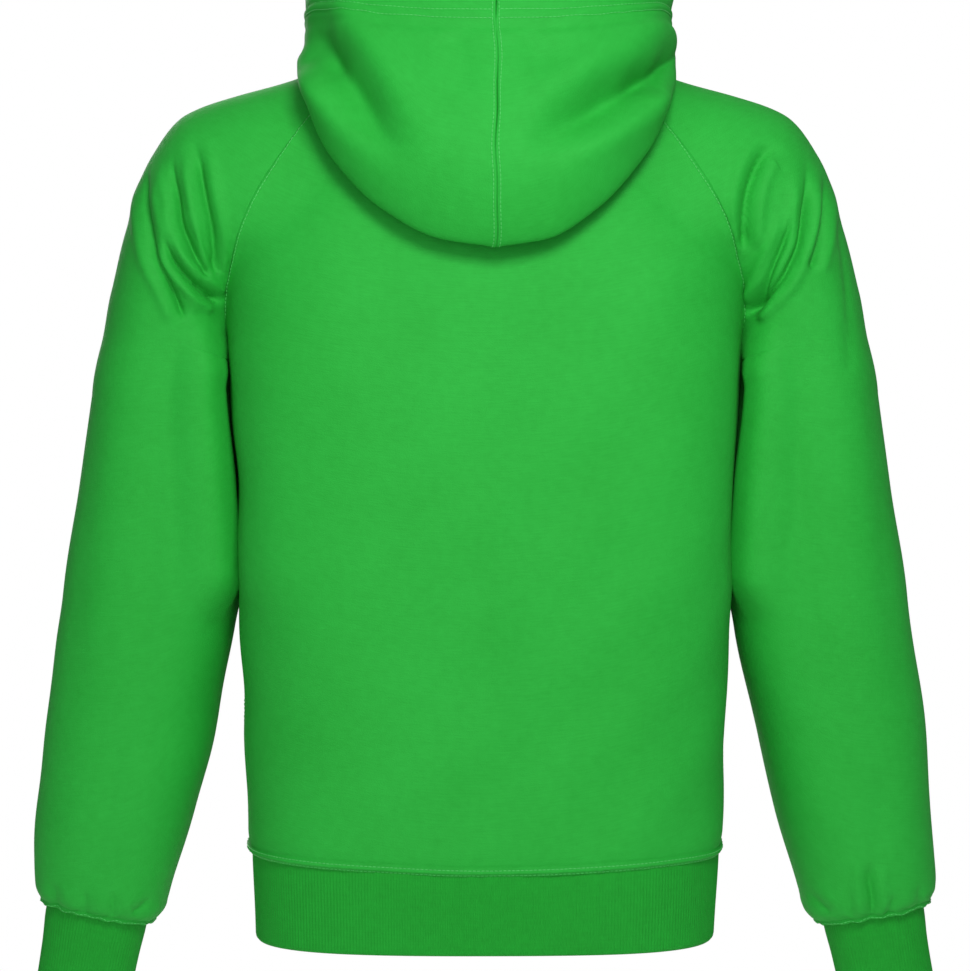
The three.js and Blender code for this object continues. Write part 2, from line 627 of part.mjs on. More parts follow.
// The line from one distance along it to another; a negative distance counts from its end.
function cutLine(line, from, to) {
  const far = [0];
  for (let i = 1; i < line.length; i += 1) far.push(far[i - 1] + line[i].p.distanceTo(line[i - 1].p));
  const total = far[far.length - 1];
  const at = (distance) => {
    const i = clamp(far.findIndex((d) => d >= distance), 1, line.length - 1);
    const share = (distance - far[i - 1]) / (far[i] - far[i - 1]);
    return {
      p: line[i - 1].p.clone().lerp(line[i].p, share),
      n: line[i - 1].n.clone().lerp(line[i].n, share).normalize(),
      tapeDepth: lerp(line[i - 1].tapeDepth, line[i].tapeDepth, share),
    };
  };
  const start = from < 0 ? total + from : from;
  const end = to < 0 ? total + to : to;
  return [at(start), ...line.filter((_, i) => far[i] > start && far[i] < end), at(end)];
}

// ---- slider and pull, in the slider's own frame: x across, y up the zip, z out of the cloth
const wasm = await Module();
wasm.setup();
function joined(...geometries) {
  const solids = geometries.map((geometry) => {
    const bare = geometry.index ? geometry.clone() : mergeVertices(geometry);
    bare.deleteAttribute('normal');
    bare.deleteAttribute('uv');
    const merged = mergeVertices(bare, WELD);
    return new wasm.Manifold(new wasm.Mesh({
      numProp: 3,
      vertProperties: merged.attributes.position.array,
      triVerts: Uint32Array.from(merged.index.array),
    }));
  });
  const whole = solids.reduce((sum, solid) => sum.add(solid)).getMesh();
  const geometry = new THREE.BufferGeometry();
  geometry.setAttribute('position', new THREE.Float32BufferAttribute(whole.vertProperties, 3));
  geometry.setIndex([...whole.triVerts]);
  return geometry;
}

const block = (low, high) => new THREE.BoxGeometry(high[0] - low[0], high[1] - low[1], high[2] - low[2])
  .translate((low[0] + high[0]) / 2, (low[1] + high[1]) / 2, (low[2] + high[2]) / 2);

// z = 0 is the front face of the chain.
const lugHeight = SLIDER.gap + SLIDER.plate + LUG.hole + LUG.rise;
function sliderGeometry() {
  const { length, half, plate, flange, gap, post, postLength } = SLIDER;
  const top = length / 2;
  const tapeBack = -(CHAIN.thickness + CHAIN.above + TAPE.thickness + gap);
  const flangeBack = -(CHAIN.thickness - gap);
  const arch = new THREE.Shape();
  arch.moveTo(-LUG.radius, -LUG.hole - LUG.foot);
  arch.lineTo(LUG.radius, -LUG.hole - LUG.foot);
  arch.lineTo(LUG.radius, 0);
  arch.absarc(0, 0, LUG.radius, 0, Math.PI);
  const eye = new THREE.Path();
  eye.absarc(0, 0, LUG.hole, 0, 2 * Math.PI, true);
  arch.holes.push(eye);
  const lug = new THREE.ExtrudeGeometry(arch, { depth: LUG.width, bevelEnabled: false, curveSegments: 8 });
  lug.translate(0, 0, -LUG.width / 2).rotateX(Math.PI / 2).rotateZ(Math.PI / 2);
  return joined(
    block([-half, -top, gap], [half, top, gap + plate]),
    block([-half, -top, flangeBack], [-half + flange, top, gap + OVERLAP]),
    block([half - flange, -top, flangeBack], [half, top, gap + OVERLAP]),
    block([-post, top - postLength, tapeBack - OVERLAP], [post, top, gap + OVERLAP]),
    block([-half, -top, tapeBack - plate], [half, top, tapeBack]),
    lug.translate(0, 0, lugHeight),
  );
}

// The pull hangs from a pin through the lug: two arms, then a plate.
function pullGeometry() {
  const { pin, length, width, taper, corner, thickness, slot, play } = PULL;
  const outline = new THREE.Shape();
  const half = width / 2;
  outline.moveTo(-half + corner, -length);
  outline.lineTo(half - corner, -length);
  outline.absarc(half - corner, -length + corner, corner, -Math.PI / 2, 0);
  outline.lineTo(half * taper, pin);
  outline.lineTo(-half * taper, pin);
  outline.lineTo(-half, -length + corner);
  outline.absarc(-half + corner, -length + corner, corner, Math.PI, 1.5 * Math.PI);
  const opening = new THREE.Path();
  const open = LUG.width / 2 + play;
  opening.moveTo(-open, -pin);
  opening.lineTo(open, -pin);
  opening.lineTo(open, -slot);
  opening.lineTo(-open, -slot);
  outline.holes.push(opening);
  const form = { depth: thickness, bevelEnabled: false, curveSegments: 5 };
  const plate = new THREE.ExtrudeGeometry(outline, form);
  return joined(plate.translate(0, 0, -thickness / 2));
}

// ---- the scene graph
const GREEN = new THREE.MeshStandardMaterial({ color: 0x33ac42, roughness: 0.9, metalness: 0 });
const RIB_GREEN = new THREE.MeshStandardMaterial({ color: 0x1f9a30, roughness: 0.9, metalness: 0 });
const METAL = new THREE.MeshStandardMaterial({ color: 0xc9ccce, roughness: 0.3, metalness: 1 });
const hoodie = new THREE.Group();
function add(name, geometry, material, parent = hoodie) {
  const mesh = new THREE.Mesh(geometry, material);
  mesh.name = name;
  parent.add(mesh);
}
function addPair(name, grid, thickness, material, wrapFrom) {
  add(`${name}_left`, wall(grid, thickness, wrapFrom), material);
  add(`${name}_right`, wall(mirrored(grid), thickness, wrapFrom), material);
}

add('back', wall(drawBack(backGrid()), FLEECE), GREEN);
addPair('front', drawBack(frontGrid()), FLEECE, GREEN);
addPair('sleeve', drawBack(sleeveGrid(), ROWS.cap), FLEECE, GREEN, ROWS.cap);
addPair('hood', drawBack(hoodGrid()), FLEECE, GREEN);
addPair('cuff', cuffGrid(), RIB, RIB_GREEN, 0);
add('waistband', wall(waistbandGrid(), RIB), RIB_GREEN);

const line = zipLine();
const tapeLine = cutLine(line, TAPE.top, -TAPE.bottom);
addPair('zip_tape', zipStrip(tapeLine, [TAPE.outer, TAPE.inner], 0), TAPE.thickness, GREEN);

const chainFace = CHAIN.thickness + CHAIN.above;
const chainTop = SLIDER.below + SLIDER.length / 2 - CHAIN.inSlider;
const chainLine = cutLine(line, chainTop, -(BOX.fromEnd + BOX.length + CHAIN.toBox));
add('zip_chain', wall(zipStrip(chainLine, [CHAIN.half, -CHAIN.half], chainFace), CHAIN.thickness), GREEN);

const stopLine = cutLine(line, STOP.below, STOP.below + STOP.length);
const stopInner = TAPE.inner + STOP.fromEdge;
const stopSides = [stopInner + STOP.width, stopInner];
addPair('zip_stop', zipStrip(stopLine, stopSides, CHAIN.above + STOP.thickness), STOP.thickness, METAL);

const boxLine = cutLine(line, -(BOX.fromEnd + BOX.length), -BOX.fromEnd);
const boxFace = CHAIN.above + BOX.thickness;
add('zip_box', wall(zipStrip(boxLine, [BOX.half, -BOX.half], boxFace), BOX.thickness), METAL);

const seat = cutLine(line, SLIDER.below, SLIDER.below + 1)[0];
const slider = new THREE.Group();
slider.position.copy(seat.p).addScaledVector(seat.n, chainFace - seat.tapeDepth);
slider.rotation.x = Math.atan2(-seat.n.y, seat.n.z);
hoodie.add(slider);
add('zip_slider', sliderGeometry(), METAL, slider);
const pull = new THREE.Group();
pull.position.z = lugHeight;
slider.add(pull);
add('zip_pull', pullGeometry(), METAL, pull);

export default hoodie;
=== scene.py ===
# %% [markdown]
# # A zip-up hoodie, filled out as if it is worn
#
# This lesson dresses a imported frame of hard-edged panels with the cloth that the eye expects.
# The frame already holds every cut piece at its real size: a back, two fronts, two raglan
# sleeves, a two-piece hood that lies down on the back, rib cuffs, a rib waistband and a zip.
# Blender adds what the frame leaves out: smooth panels, creases, seams, stitches and knit.
#
# The frame is loaded first, because each new piece rides on one of its bodies.

import bpy
import numpy as np
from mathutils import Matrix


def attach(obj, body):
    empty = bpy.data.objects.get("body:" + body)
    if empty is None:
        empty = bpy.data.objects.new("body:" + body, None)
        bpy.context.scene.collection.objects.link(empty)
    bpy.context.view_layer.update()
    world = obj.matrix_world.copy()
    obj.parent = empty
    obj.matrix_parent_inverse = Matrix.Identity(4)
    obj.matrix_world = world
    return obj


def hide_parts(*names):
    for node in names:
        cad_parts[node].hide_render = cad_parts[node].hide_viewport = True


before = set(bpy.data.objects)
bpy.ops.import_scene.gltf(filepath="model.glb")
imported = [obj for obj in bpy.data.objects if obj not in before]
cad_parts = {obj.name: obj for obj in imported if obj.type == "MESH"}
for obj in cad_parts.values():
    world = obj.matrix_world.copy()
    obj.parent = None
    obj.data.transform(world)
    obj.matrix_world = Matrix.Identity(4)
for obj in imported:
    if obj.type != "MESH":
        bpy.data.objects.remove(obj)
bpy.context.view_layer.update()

# %% [markdown]
# ## Small tools for numbers
#
# Every shape below is worked out for whole grids of points at once. The sizes stay in
# millimetres, as a pattern cutter writes them, and turn to metres only where a mesh is made.
# A short table holds sections of the body or the sleeve, and a smooth curve runs through its
# rows. A straight line between rows would leave a kink that the eye finds at once on soft cloth.

# %% Numbers, tables and curves
MM = 0.001
TURN = 2 * np.pi
FINE_STEPS = 4001


def lerp(low, high, share):
    """The value that lies a share of the way from low to high."""
    return low + (high - low) * share


def smoothstep(value, low, high):
    """0 below low, 1 above high, and three t squared minus two t cubed in between."""
    t = np.clip((value - low) / (high - low), 0, 1)
    return t * t * (3 - 2 * t)


def bell(value, middle, width):
    """1 at the middle and 1/e a width away: e to minus the square of the distance in widths."""
    return np.exp(-(((value - middle) / width) ** 2))


def unit(vectors):
    """Vectors divided by their own lengths."""
    return vectors / np.maximum(np.linalg.norm(vectors, axis=-1, keepdims=True), 1e-9)


def points(x, y, z):
    """Three arrays of like shape, or numbers, joined to one array of points."""
    return np.stack(np.broadcast_arrays(x, y, z), axis=-1).astype(float)


def table(names, *rows):
    """A table with named columns, as a dictionary of arrays."""
    return dict(zip(names.split(), np.array(rows, dtype=float).T))


def hermite(t, start, end, start_slope, end_slope):
    """The cubic that leaves start and meets end with the given slopes."""
    return (
        (2 * t**3 - 3 * t**2 + 1) * start
        + (t**3 - 2 * t**2 + t) * start_slope
        + (3 * t**2 - 2 * t**3) * end
        + (t**3 - t**2) * end_slope
    )


def through(rows, key):
    """A smooth curve through a table's rows, from the key column to all the others. Each slope
    is the harmonic mean of the rises beside it, so the curve never swings past its rows."""
    order = np.argsort(rows[key])
    at = rows[key][order]
    width = np.diff(at)
    curves = {}
    for name, column in rows.items():
        if name == key:
            continue
        values = column[order]
        rise = np.diff(values) / width
        before, after = rise[:-1], rise[1:]
        same = before * after > 0
        mean = 2 * before * after / np.where(same, before + after, 1)
        slope = np.concatenate([rise[:1], np.where(same, mean, 0), rise[-1:]])
        curves[name] = (values, slope)

    def curve(wanted):
        clipped = np.clip(wanted, at[0], at[-1])
        i = np.clip(np.searchsorted(at, clipped) - 1, 0, len(at) - 2)
        t = (clipped - at[i]) / width[i]
        return {
            name: hermite(t, v[i], v[i + 1], width[i] * m[i], width[i] * m[i + 1])
            for name, (v, m) in curves.items()
        }

    return curve


def crowded(count, *places):
    """count + 1 shares from 0 to 1. Near each place (where, reach, times) they lie that many
    times closer together than elsewhere, fading as a bell curve over the reach."""
    fine = np.linspace(0, 1, FINE_STEPS)
    density = 1 + sum(times * bell(fine, where, reach) for where, reach, times in places)
    total = np.concatenate([[0], np.cumsum((density[1:] + density[:-1]) / 2)])
    return np.interp(np.linspace(0, 1, count + 1), total / total[-1], fine)


print("smooth step at a quarter:", smoothstep(0.25, 0, 1))

# %% [markdown]
# ## The worn form
#
# A hoodie that is filled out takes one soft form: a trunk, and two arms that leave it at the
# armpits. Lofting each panel on its own would leave gaps at the seams. So the form is a field
# instead, a number at each point in space that is negative inside and positive outside, and
# every panel is pushed out until it lies on it. The same tables shape the frame's panels.

# %% Trunk and arms as fields
TRUNK = table(
    "z side back front corner",
    (26, 40, 30, 26, 2.1),
    (12, 78, 58, 50, 2.1),
    (0, 97, 68, 60, 2.2),
    (-20, 124, 84, 68, 2.3),
    (-60, 163, 102, 82, 2.5),
    (-100, 186, 115, 101, 2.7),
    (-150, 205, 126, 119, 3.1),
    (-200, 207, 132, 129, 3.2),
    (-260, 203, 134, 133, 3),
    (-330, 197, 133, 133, 3),
    (-420, 193, 129, 130, 3),
    (-500, 187, 124, 126, 3),
    (-575, 183.5, 120, 122, 3),
    (-625, 182, 118, 120, 3),
)
PIVOT_X, PIVOT_Z = 150, -260
SHOULDER = table(
    "angle inner outer depth",
    (0, 56, 154.5, 77),
    (15, 58, 152, 80),
    (30, 62, 160.5, 84),
    (45, 69, 180, 88),
    (60, 80, 213.5, 91),
    (70, 82, 231.5, 92),
    (80, 78, 235, 91),
    (90, 70, 239, 86),
    (104, 60, 259, 74),
)
ARM_CORNER = 2.3
BLEND_SOFT, BLEND_SHARP = 44, 3
BLEND_ABOVE, BLEND_BELOW = -100, -190
CREASE_STARTS, CREASE_WHOLE = -140, -178

trunk_at = through(TRUNK, "z")
shoulder_at = through(SHOULDER, "angle")


def trunk_field(p):
    """Horizontal sections that are superellipses: the corner powers of x over the half width
    and y over the half depth sum to one on the surface."""
    s = trunk_at(p[..., 2])
    depth = np.where(p[..., 1] > 0, s["back"], s["front"])
    x, y = np.abs(p[..., 0]) / s["side"], np.abs(p[..., 1]) / depth
    reach = (x ** s["corner"] + y ** s["corner"]) ** (1 / s["corner"])
    return (reach - 1) * np.minimum(s["side"], depth)


def arm_field(p):
    """Sections that fan round a pivot beside the underarm, each a superellipse between its
    inner and its outer reach."""
    out, up = np.abs(p[..., 0]) - PIVOT_X, p[..., 2] - PIVOT_Z
    s = shoulder_at(np.degrees(np.arctan2(up, out)))
    half = (s["outer"] - s["inner"]) / 2
    along = np.abs(np.hypot(out, up) - (s["outer"] + s["inner"]) / 2) / half
    across = np.abs(p[..., 1]) / s["depth"]
    return ((along**ARM_CORNER + across**ARM_CORNER) ** (1 / ARM_CORNER) - 1) * half


def worn_form(p):
    """The smaller of the two fields, less a soft bite where they are nearly equal, which
    rounds the shoulder and stays sharp in the armpit."""
    trunk, arm = trunk_field(p), arm_field(p)
    bite = lerp(BLEND_SHARP, BLEND_SOFT, smoothstep(p[..., 2], BLEND_BELOW, BLEND_ABOVE))
    near = np.maximum(bite - np.abs(trunk - arm), 0) / bite
    return np.minimum(trunk, arm) - near * near * bite / 4


def in_armpit(p):
    """0 above the armpit crease, 1 where body and sleeve lie against each other."""
    return smoothstep(-p[..., 2], -CREASE_STARTS, -CREASE_WHOLE)


def body_field(p):
    """The worn form, and in the armpit the trunk alone."""
    return lerp(worn_form(p), trunk_field(p), in_armpit(p))


def sleeve_field(p):
    """The worn form, and in the armpit the arm alone."""
    return lerp(worn_form(p), arm_field(p), in_armpit(p))


chest = points([0.0, 150.0, 400.0], 0.0, -250.0)
print("field on the axis, near the side and outside:", np.round(body_field(chest), 2))

# %% [markdown]
# A field says only how far inside or outside a point is. To find the cloth, a point travels
# along a ray until the field turns positive. Halving the interval again and again is slow but
# never fails, and it works on a whole grid of rays at once.

# %% Pushing points out to a field
HALVINGS, STRIDE = 34, 4.0


def crossing(test, low, high):
    """Halves each interval many times, towards the place where the test turns positive."""
    for _ in range(HALVINGS):
        middle = (low + high) / 2
        inside = test(middle) < 0
        low = np.where(inside, middle, low)
        high = np.where(inside, high, middle)
    return (low + high) / 2


def first_exit(field, start, direction):
    """Walks out from points inside a field in 4 mm strides until all are outside, then halves
    the last stride of each down to the surface."""

    def field_at(distance):
        return field(start + distance[..., None] * direction)

    distance = np.full(np.broadcast_shapes(start.shape, direction.shape)[:-1], STRIDE)
    inside = field_at(distance) < 0
    while inside.any():
        distance = np.where(inside, distance + STRIDE, distance)
        inside = field_at(distance) < 0
    last = crossing(field_at, distance - STRIDE, distance)
    return start + last[..., None] * direction


def outward(field, p):
    """The direction in which a field rises fastest, from its differences over a millimetre."""
    return unit(np.stack([field(p + step) - field(p - step) for step in np.eye(3) / 2], axis=-1))


def body_point(turn, z, field=body_field):
    """The surface at a height and a turn, from centre back (0) past the wearer's left side
    (90) to centre front (180 degrees)."""
    turn, z = np.broadcast_arrays(np.radians(turn), z)
    return first_exit(field, points(0, 0, z), points(np.sin(turn), np.cos(turn), 0))


print("chest, half width at armpit height:", round(float(body_point(90.0, -200.0)[0]), 1), "mm")

# %% [markdown]
# ## Seam lines
#
# A raglan sleeve runs up to the neck, so the seam between sleeve and body is a long slanting
# line on the back and another on the front. Both panels have to end on exactly the same line.
# The line is worked out once, as even steps along its length, and both panels borrow it.

# %% Raglan seams, neckline and hem
RAGLAN_BACK = table(
    "z x", (-3, 88), (-30, 113), (-56, 133), (-98, 161), (-135, 182), (-160, 193), (-185, 198)
)
RAGLAN_FRONT = table(
    "z x", (-14, 84), (-50, 122), (-88, 150), (-122, 174), (-150, 189), (-185, 198)
)
NECK_BACK, NECK_FRONT, NECK_RISE, NECK_SCOOP = -9, -72, 5, 1.3
HEM_SIDE, HEM_CENTRE = -610, -617
CLEAR_OF_ARM = 0.3       # share of the quarter turn that the arm never reaches
SEAM_STEPS, SEAM_EASE = 401, 1.7      # tried places crowd towards the underarm with this power


def below_arm(z):
    """Positive where the side of the trunk is inside the arm."""
    return -arm_field(points(trunk_at(z)["side"], 0, z))


underarm_z = float(crossing(below_arm, np.array(float(PIVOT_Z)), np.array(float(CREASE_WHOLE))))


def crease_turn(z, front):
    """The turn at which the arm leaves the trunk, at each height in the armpit."""

    def turn_at(share):
        return 180 - 90 * share if front else 90 * share

    def inside_arm(share):
        return -arm_field(body_point(turn_at(share), z, trunk_field))

    return turn_at(crossing(inside_arm, np.full(z.shape, CLEAR_OF_ARM), np.ones(z.shape)))


def raglan_seam(rows, front):
    """A seam from the neckline down to the underarm. Returns a function from shares of its
    length to (turn, height)."""
    x_at = through(rows, "z")
    top, bottom = rows["z"][0], rows["z"][-1]
    t = np.linspace(0, 1, SEAM_STEPS)
    z = underarm_z + (top - underarm_z) * (1 - t) ** SEAM_EASE
    level = np.maximum(z, bottom)
    ahead = np.array([0, -1.0 if front else 1.0, 0])
    spot = first_exit(worn_form, points(x_at(level)["x"], 0, level), ahead)
    drawn = np.degrees(np.arctan2(spot[:, 0], spot[:, 1]))
    armpit = z < CREASE_STARTS
    folded = drawn.copy()
    folded[armpit] = crease_turn(z[armpit], front)
    turn = lerp(drawn, folded, in_armpit(points(0, 0, z)))
    turn[-1] = 90
    lengths = np.linalg.norm(np.diff(body_point(turn, z), axis=0), axis=-1)
    share = np.concatenate([[0], np.cumsum(lengths)]) / lengths.sum()
    return lambda wanted: (np.interp(wanted, share, turn), np.interp(wanted, share, z))


seam_back = raglan_seam(RAGLAN_BACK, front=False)
seam_front = raglan_seam(RAGLAN_FRONT, front=True)
top_back_turn, top_back_z = map(float, seam_back(0.0))
top_front_turn, top_front_z = map(float, seam_front(0.0))


def neck_height(turn):
    """Nearly level behind the seams, a low arch over each shoulder, then down to the front."""
    behind = lerp(NECK_BACK, top_back_z, np.minimum(turn / top_back_turn, 1) ** 2)
    share = np.clip((turn - top_back_turn) / (top_front_turn - top_back_turn), 0, 1)
    over = lerp(top_back_z, top_front_z, share) + 4 * NECK_RISE * share * (1 - share)
    fall = np.clip((180 - turn) / (180 - top_front_turn), 0, 1) ** NECK_SCOOP
    before = lerp(NECK_FRONT, top_front_z, fall)
    return np.where(turn < top_back_turn, behind, np.where(turn < top_front_turn, over, before))


def hem_height(turn):
    """A hem that dips a little at the centre back and front."""
    return lerp(HEM_SIDE, HEM_CENTRE, np.cos(np.radians(turn)) ** 2)


print("underarm at", round(underarm_z, 1), "mm, seams meet the neck at", round(top_back_z, 1), "mm")

# %% [markdown]
# ## Grids of cloth
#
# A cut panel has four edges, so a grid with rows down the body and columns across it suits
# each one. A sleeve is a panel above the underarm and a tube below it, so its first and last
# column are sewn together from the underarm row on. The grids here are fine, about 3 mm a
# step, and closer beside seams and creases, where the cloth bends most.

# %% Grid helpers
def facing(grid, wrap_from=None):
    """The direction across a grid's rows and columns, by the cross product of its slopes. On
    the rows of a tube the slopes run on past the sewn column. Its sign is that of the grid."""
    down = np.gradient(grid, axis=0)
    across = np.gradient(grid, axis=1)
    if wrap_from is not None:
        seam = (grid[wrap_from:, 1] - grid[wrap_from:, -2]) / 2
        across[wrap_from:, 0] = seam
        across[wrap_from:, -1] = seam
        joined = (down[wrap_from:, 0] + down[wrap_from:, -1]) / 2
        down[wrap_from:, 0] = joined
        down[wrap_from:, -1] = joined
    return unit(np.cross(down, across))


def run(grid, axis):
    """Distances along a grid's rows (axis 1) or columns (axis 0), from its first line."""
    steps = np.linalg.norm(np.diff(grid, axis=axis), axis=-1)
    pad = [(1, 0), (0, 0)] if axis == 0 else [(0, 0), (1, 0)]
    return np.cumsum(np.pad(steps, pad), axis=axis)


def from_ends(grid, axis):
    """Distances to the first and to the last line along an axis."""
    along = run(grid, axis)
    return along, np.max(along, axis=axis, keepdims=True) - along


def pushed(grid, directions, height):
    """A grid moved along its outward directions by a height in millimetres."""
    return grid + directions * height[..., None]


flat_patch = points(*np.meshgrid(np.arange(3.0), 0.0, np.arange(3.0), indexing="ij")).reshape(3, 3, 3)
print("a flat patch faces:", facing(flat_patch)[1, 1])

# %% [markdown]
# ## Back and fronts
#
# The back is one panel and each front another. Their columns run down the cloth and bend to
# meet the raglan seams, so that the seam is a true edge of the mesh, with no steps in it. The
# hanging arm rolls over the side of the body, so both are drawn in a little there.

# %% Back and front panels
NEAR_SEAM, TURN_NEAR_SEAM = 3, 2.5


def bent_turn(v, seam_turn):
    """Columns spread evenly from the centre (v = 0) to the side (v = 1), and bend in to meet
    the seam."""
    return v * 90 - np.sign(v) * (90 - seam_turn) * np.abs(v) ** TURN_NEAR_SEAM


def bent_height(v, t, seam):
    """Rows evenly spaced down to the underarm, which bend to meet the seam."""
    even = lerp(seam(0.0)[1], underarm_z, t)
    return lerp(even, seam(t)[1], np.abs(v) ** NEAR_SEAM)


def back_surface(columns, cap, body):
    """The back: columns from -1 (right side) to 1 (left side), cap rows from the neckline to
    the underarm along the raglan seams, then body rows down to the hem."""
    v, t = columns[None, :], cap[:, None]
    turn = bent_turn(v, seam_back(t)[0])
    dip = (neck_height(np.minimum(np.abs(turn), top_back_turn)) - top_back_z) * (1 - t)
    upper = body_point(turn, bent_height(v, t, seam_back) + dip)
    t = body[1:, None]
    lower = body_point(90 * v + 0 * t, lerp(underarm_z, hem_height(90 * v), t))
    return np.concatenate([upper, lower])


FRONT_EDGE = 5.5


def edge_turn(z):
    """The turn of the front edge, which runs straight down beside the zip."""
    return 180 - np.degrees(np.arctan2(FRONT_EDGE, trunk_at(z)["front"]))


def front_surface(columns, cap, body):
    """The wearer's left front: columns from 0 (side) to 1 (front edge), rows as on the back."""
    v, t = columns[None, :], cap[:, None]
    side = 1 - v
    start = seam_front(t)[0]
    even = 180 - bent_turn(side, 180 - start)
    fall = (neck_height(np.maximum(even, top_front_turn)) - top_front_z) * (1 - t)
    z = bent_height(side, t, seam_front) + fall
    upper = body_point(start + (even - start) * (edge_turn(z) - start) / (180 - start), z)
    t = body[1:, None]
    z = lerp(underarm_z, hem_height(90 + 90 * v), t)
    lower = body_point(lerp(90, edge_turn(z), v), z)
    return np.concatenate([upper, lower])


cap_rows = crowded(92, (1, 0.1, 0.5))
body_rows = crowded(104, (1, 0.02, 4))
back_columns = 2 * crowded(126, (0, 0.03, 4), (1, 0.03, 4)) - 1
front_columns = crowded(64, (0, 0.05, 4), (1, 0.05, 4))
front_cap_rows = crowded(76, (1, 0.1, 0.5))
front_body_rows = crowded(104, (1, 0.02, 4))
DRAWN_IN = table(
    "z in",
    (-520, 0), (-391, 4.3), (-325, 6), (-284, 6.4), (-240, 7.8),
    (-218, 8.3), (-193, 6.6), (-160, 3.5), (-110, 0),
)
BODY_REACH, ARM_REACH = (110, 190), (215, 300)


def drawn_in(grid):
    """Moves the side of the body, the lower raglan seam and the inside of the arm a few
    millimetres towards the centre, where the hanging arm rolls over the body's side."""
    x, z = np.abs(grid[..., 0]), grid[..., 2]
    amount = np.interp(z, DRAWN_IN["z"], DRAWN_IN["in"])
    share = smoothstep(x, *BODY_REACH) * (1 - smoothstep(x, *ARM_REACH))
    return grid - points(np.sign(grid[..., 0]) * amount * share, 0, 0)


back_grid = drawn_in(back_surface(back_columns, cap_rows, body_rows))
front_grid = drawn_in(front_surface(front_columns, front_cap_rows, front_body_rows))
print("back", back_grid.shape[:2], "front", front_grid.shape[:2])

# %% [markdown]
# ## Sleeves
#
# The sleeve's cap lies on the shoulder between the two raglan seams. Its rows fan out from a
# pivot beside the underarm, because the arm leaves the trunk sideways and turns down. Below
# the underarm the rows are closed rings that tilt with the forearm and gather at the cuff.

# %% Sleeve and cuff surfaces
FOREARM = table(
    "z x half depth y tilt",
    (-260, 255.3, 49.2, 77, 0, 0),
    (-330, 257.2, 57.8, 71, -1, 0.02),
    (-420, 262.5, 66, 65, -4, 0.08),
    (-500, 275, 65, 60, -10, 0.14),
    (-575, 289, 60, 56, -17, 0.17),
    (-630, 300, 54, 51, -23, 0.19),
    (-650, 303.5, 51.5, 48, -25, 0.2),
    (-660, 305.3, 48, 44.5, -26.5, 0.2),
    (-667, 306.6, 41.3, 36.9, -27.5, 0.2),
)
CUFF = table(
    "z x half depth y tilt",
    (-660, 305.3, 38.5, 34.5, -26.5, 0.2),
    (-670, 307.3, 39, 34.5, -28, 0.2),
    (-695, 312.3, 37.5, 33, -31, 0.2),
    (-726, 318.5, 36.5, 32, -34, 0.2),
)
EASING_ROUNDS = 30
RIDGE_HALF, RIDGE_TOP = (8, 32), (-110, -60)      # the ridge on the shoulder: half width, height
forearm_at = through(FOREARM, "z")
cuff_at = through(CUFF, "z")


def fan_of(p):
    """A point's angle above the pivot, and its turn round the middle of its section."""
    out, up = p[..., 0] - PIVOT_X, p[..., 2] - PIVOT_Z
    angle = np.degrees(np.arctan2(up, out))
    s = shoulder_at(angle)
    reach = np.hypot(out, up) - (s["outer"] + s["inner"]) / 2
    return angle, np.degrees(np.arctan2(p[..., 1], reach))


def fan_point(angle, turn, field):
    """The surface in a fan plane, out from the middle of the section at a turn."""
    s = shoulder_at(angle)
    a, b = np.radians(angle), np.radians(turn)
    out = points(np.cos(a), 0, np.sin(a))
    middle = points(PIVOT_X, 0, PIVOT_Z) + out * ((s["outer"] + s["inner"]) / 2)[..., None]
    return first_exit(field, middle, out * np.cos(b)[..., None] + points(0, np.sin(b), 0))


def section_point(s, z, turn):
    """A superellipse about (x, y, z) at a turn from its outer side, tilted about its middle."""
    cosine, sine = np.cos(np.radians(turn)), np.sin(np.radians(turn))
    sides = np.abs(cosine / s["half"]) ** ARM_CORNER + np.abs(sine / s["depth"]) ** ARM_CORNER
    size = sides ** (-1 / ARM_CORNER)
    return points(s["x"] + size * cosine, s["y"] + size * sine, z + s["tilt"] * size * cosine)


def sleeve_cap(columns, rows):
    """The cap: columns from the back seam (0) over the top of the arm to the front seam (1)."""
    v, t = columns[None, :], rows[:, None]
    neck_turn = lerp(top_back_turn, top_front_turn, columns)
    neck = body_point(neck_turn, neck_height(neck_turn))
    behind = body_point(*seam_back(rows))
    before = body_point(*seam_front(rows))
    angle_behind, turn_behind = (value[:, None] for value in fan_of(behind))
    angle_before, turn_before = (value[:, None] for value in fan_of(before))
    turn_behind[-1], turn_before[-1] = 180, -180
    own = lerp(angle_behind, angle_before, v)
    even = lerp(own[:1], own[-1:], t)
    angle = lerp(even, own, np.abs(2 * v - 1) ** NEAR_SEAM)
    turn = lerp(turn_behind, turn_before, v)
    neck_angle, neck_turn = fan_of(neck)
    pull = (1 - t) ** 2
    angle = angle + (neck_angle - angle[0]) * pull
    turn = turn + (neck_turn - turn[0]) * pull
    cap = fan_point(angle, turn, sleeve_field)
    cap[0] = neck
    cap[:, 0], cap[:, -1] = behind, before
    return cap


def sleeve_surface(columns, cap, fan, lower):
    """The cap, then rings that fan from the underarm down to the pivot's height, then rings
    down the forearm."""
    upper = sleeve_cap(columns, cap)
    angle = fan_of(upper[-1, :1])[0]
    turn = lerp(180, -180, columns)[None, :]
    bend = fan_point(angle * (1 - fan[1:, None]) + 0 * turn, turn + 0 * fan[1:, None], arm_field)
    z = lerp(PIVOT_Z, FOREARM["z"].min(), lower[1:, None])
    return np.concatenate([upper, bend, section_point(forearm_at(z), z, turn)])


def cuff_surface(columns, rows):
    """A straight ribbed tube: columns once round, from the inner side."""
    z = lerp(CUFF["z"].max(), CUFF["z"].min(), rows[:, None])
    return section_point(cuff_at(z), z, lerp(180, -180, columns)[None, :])


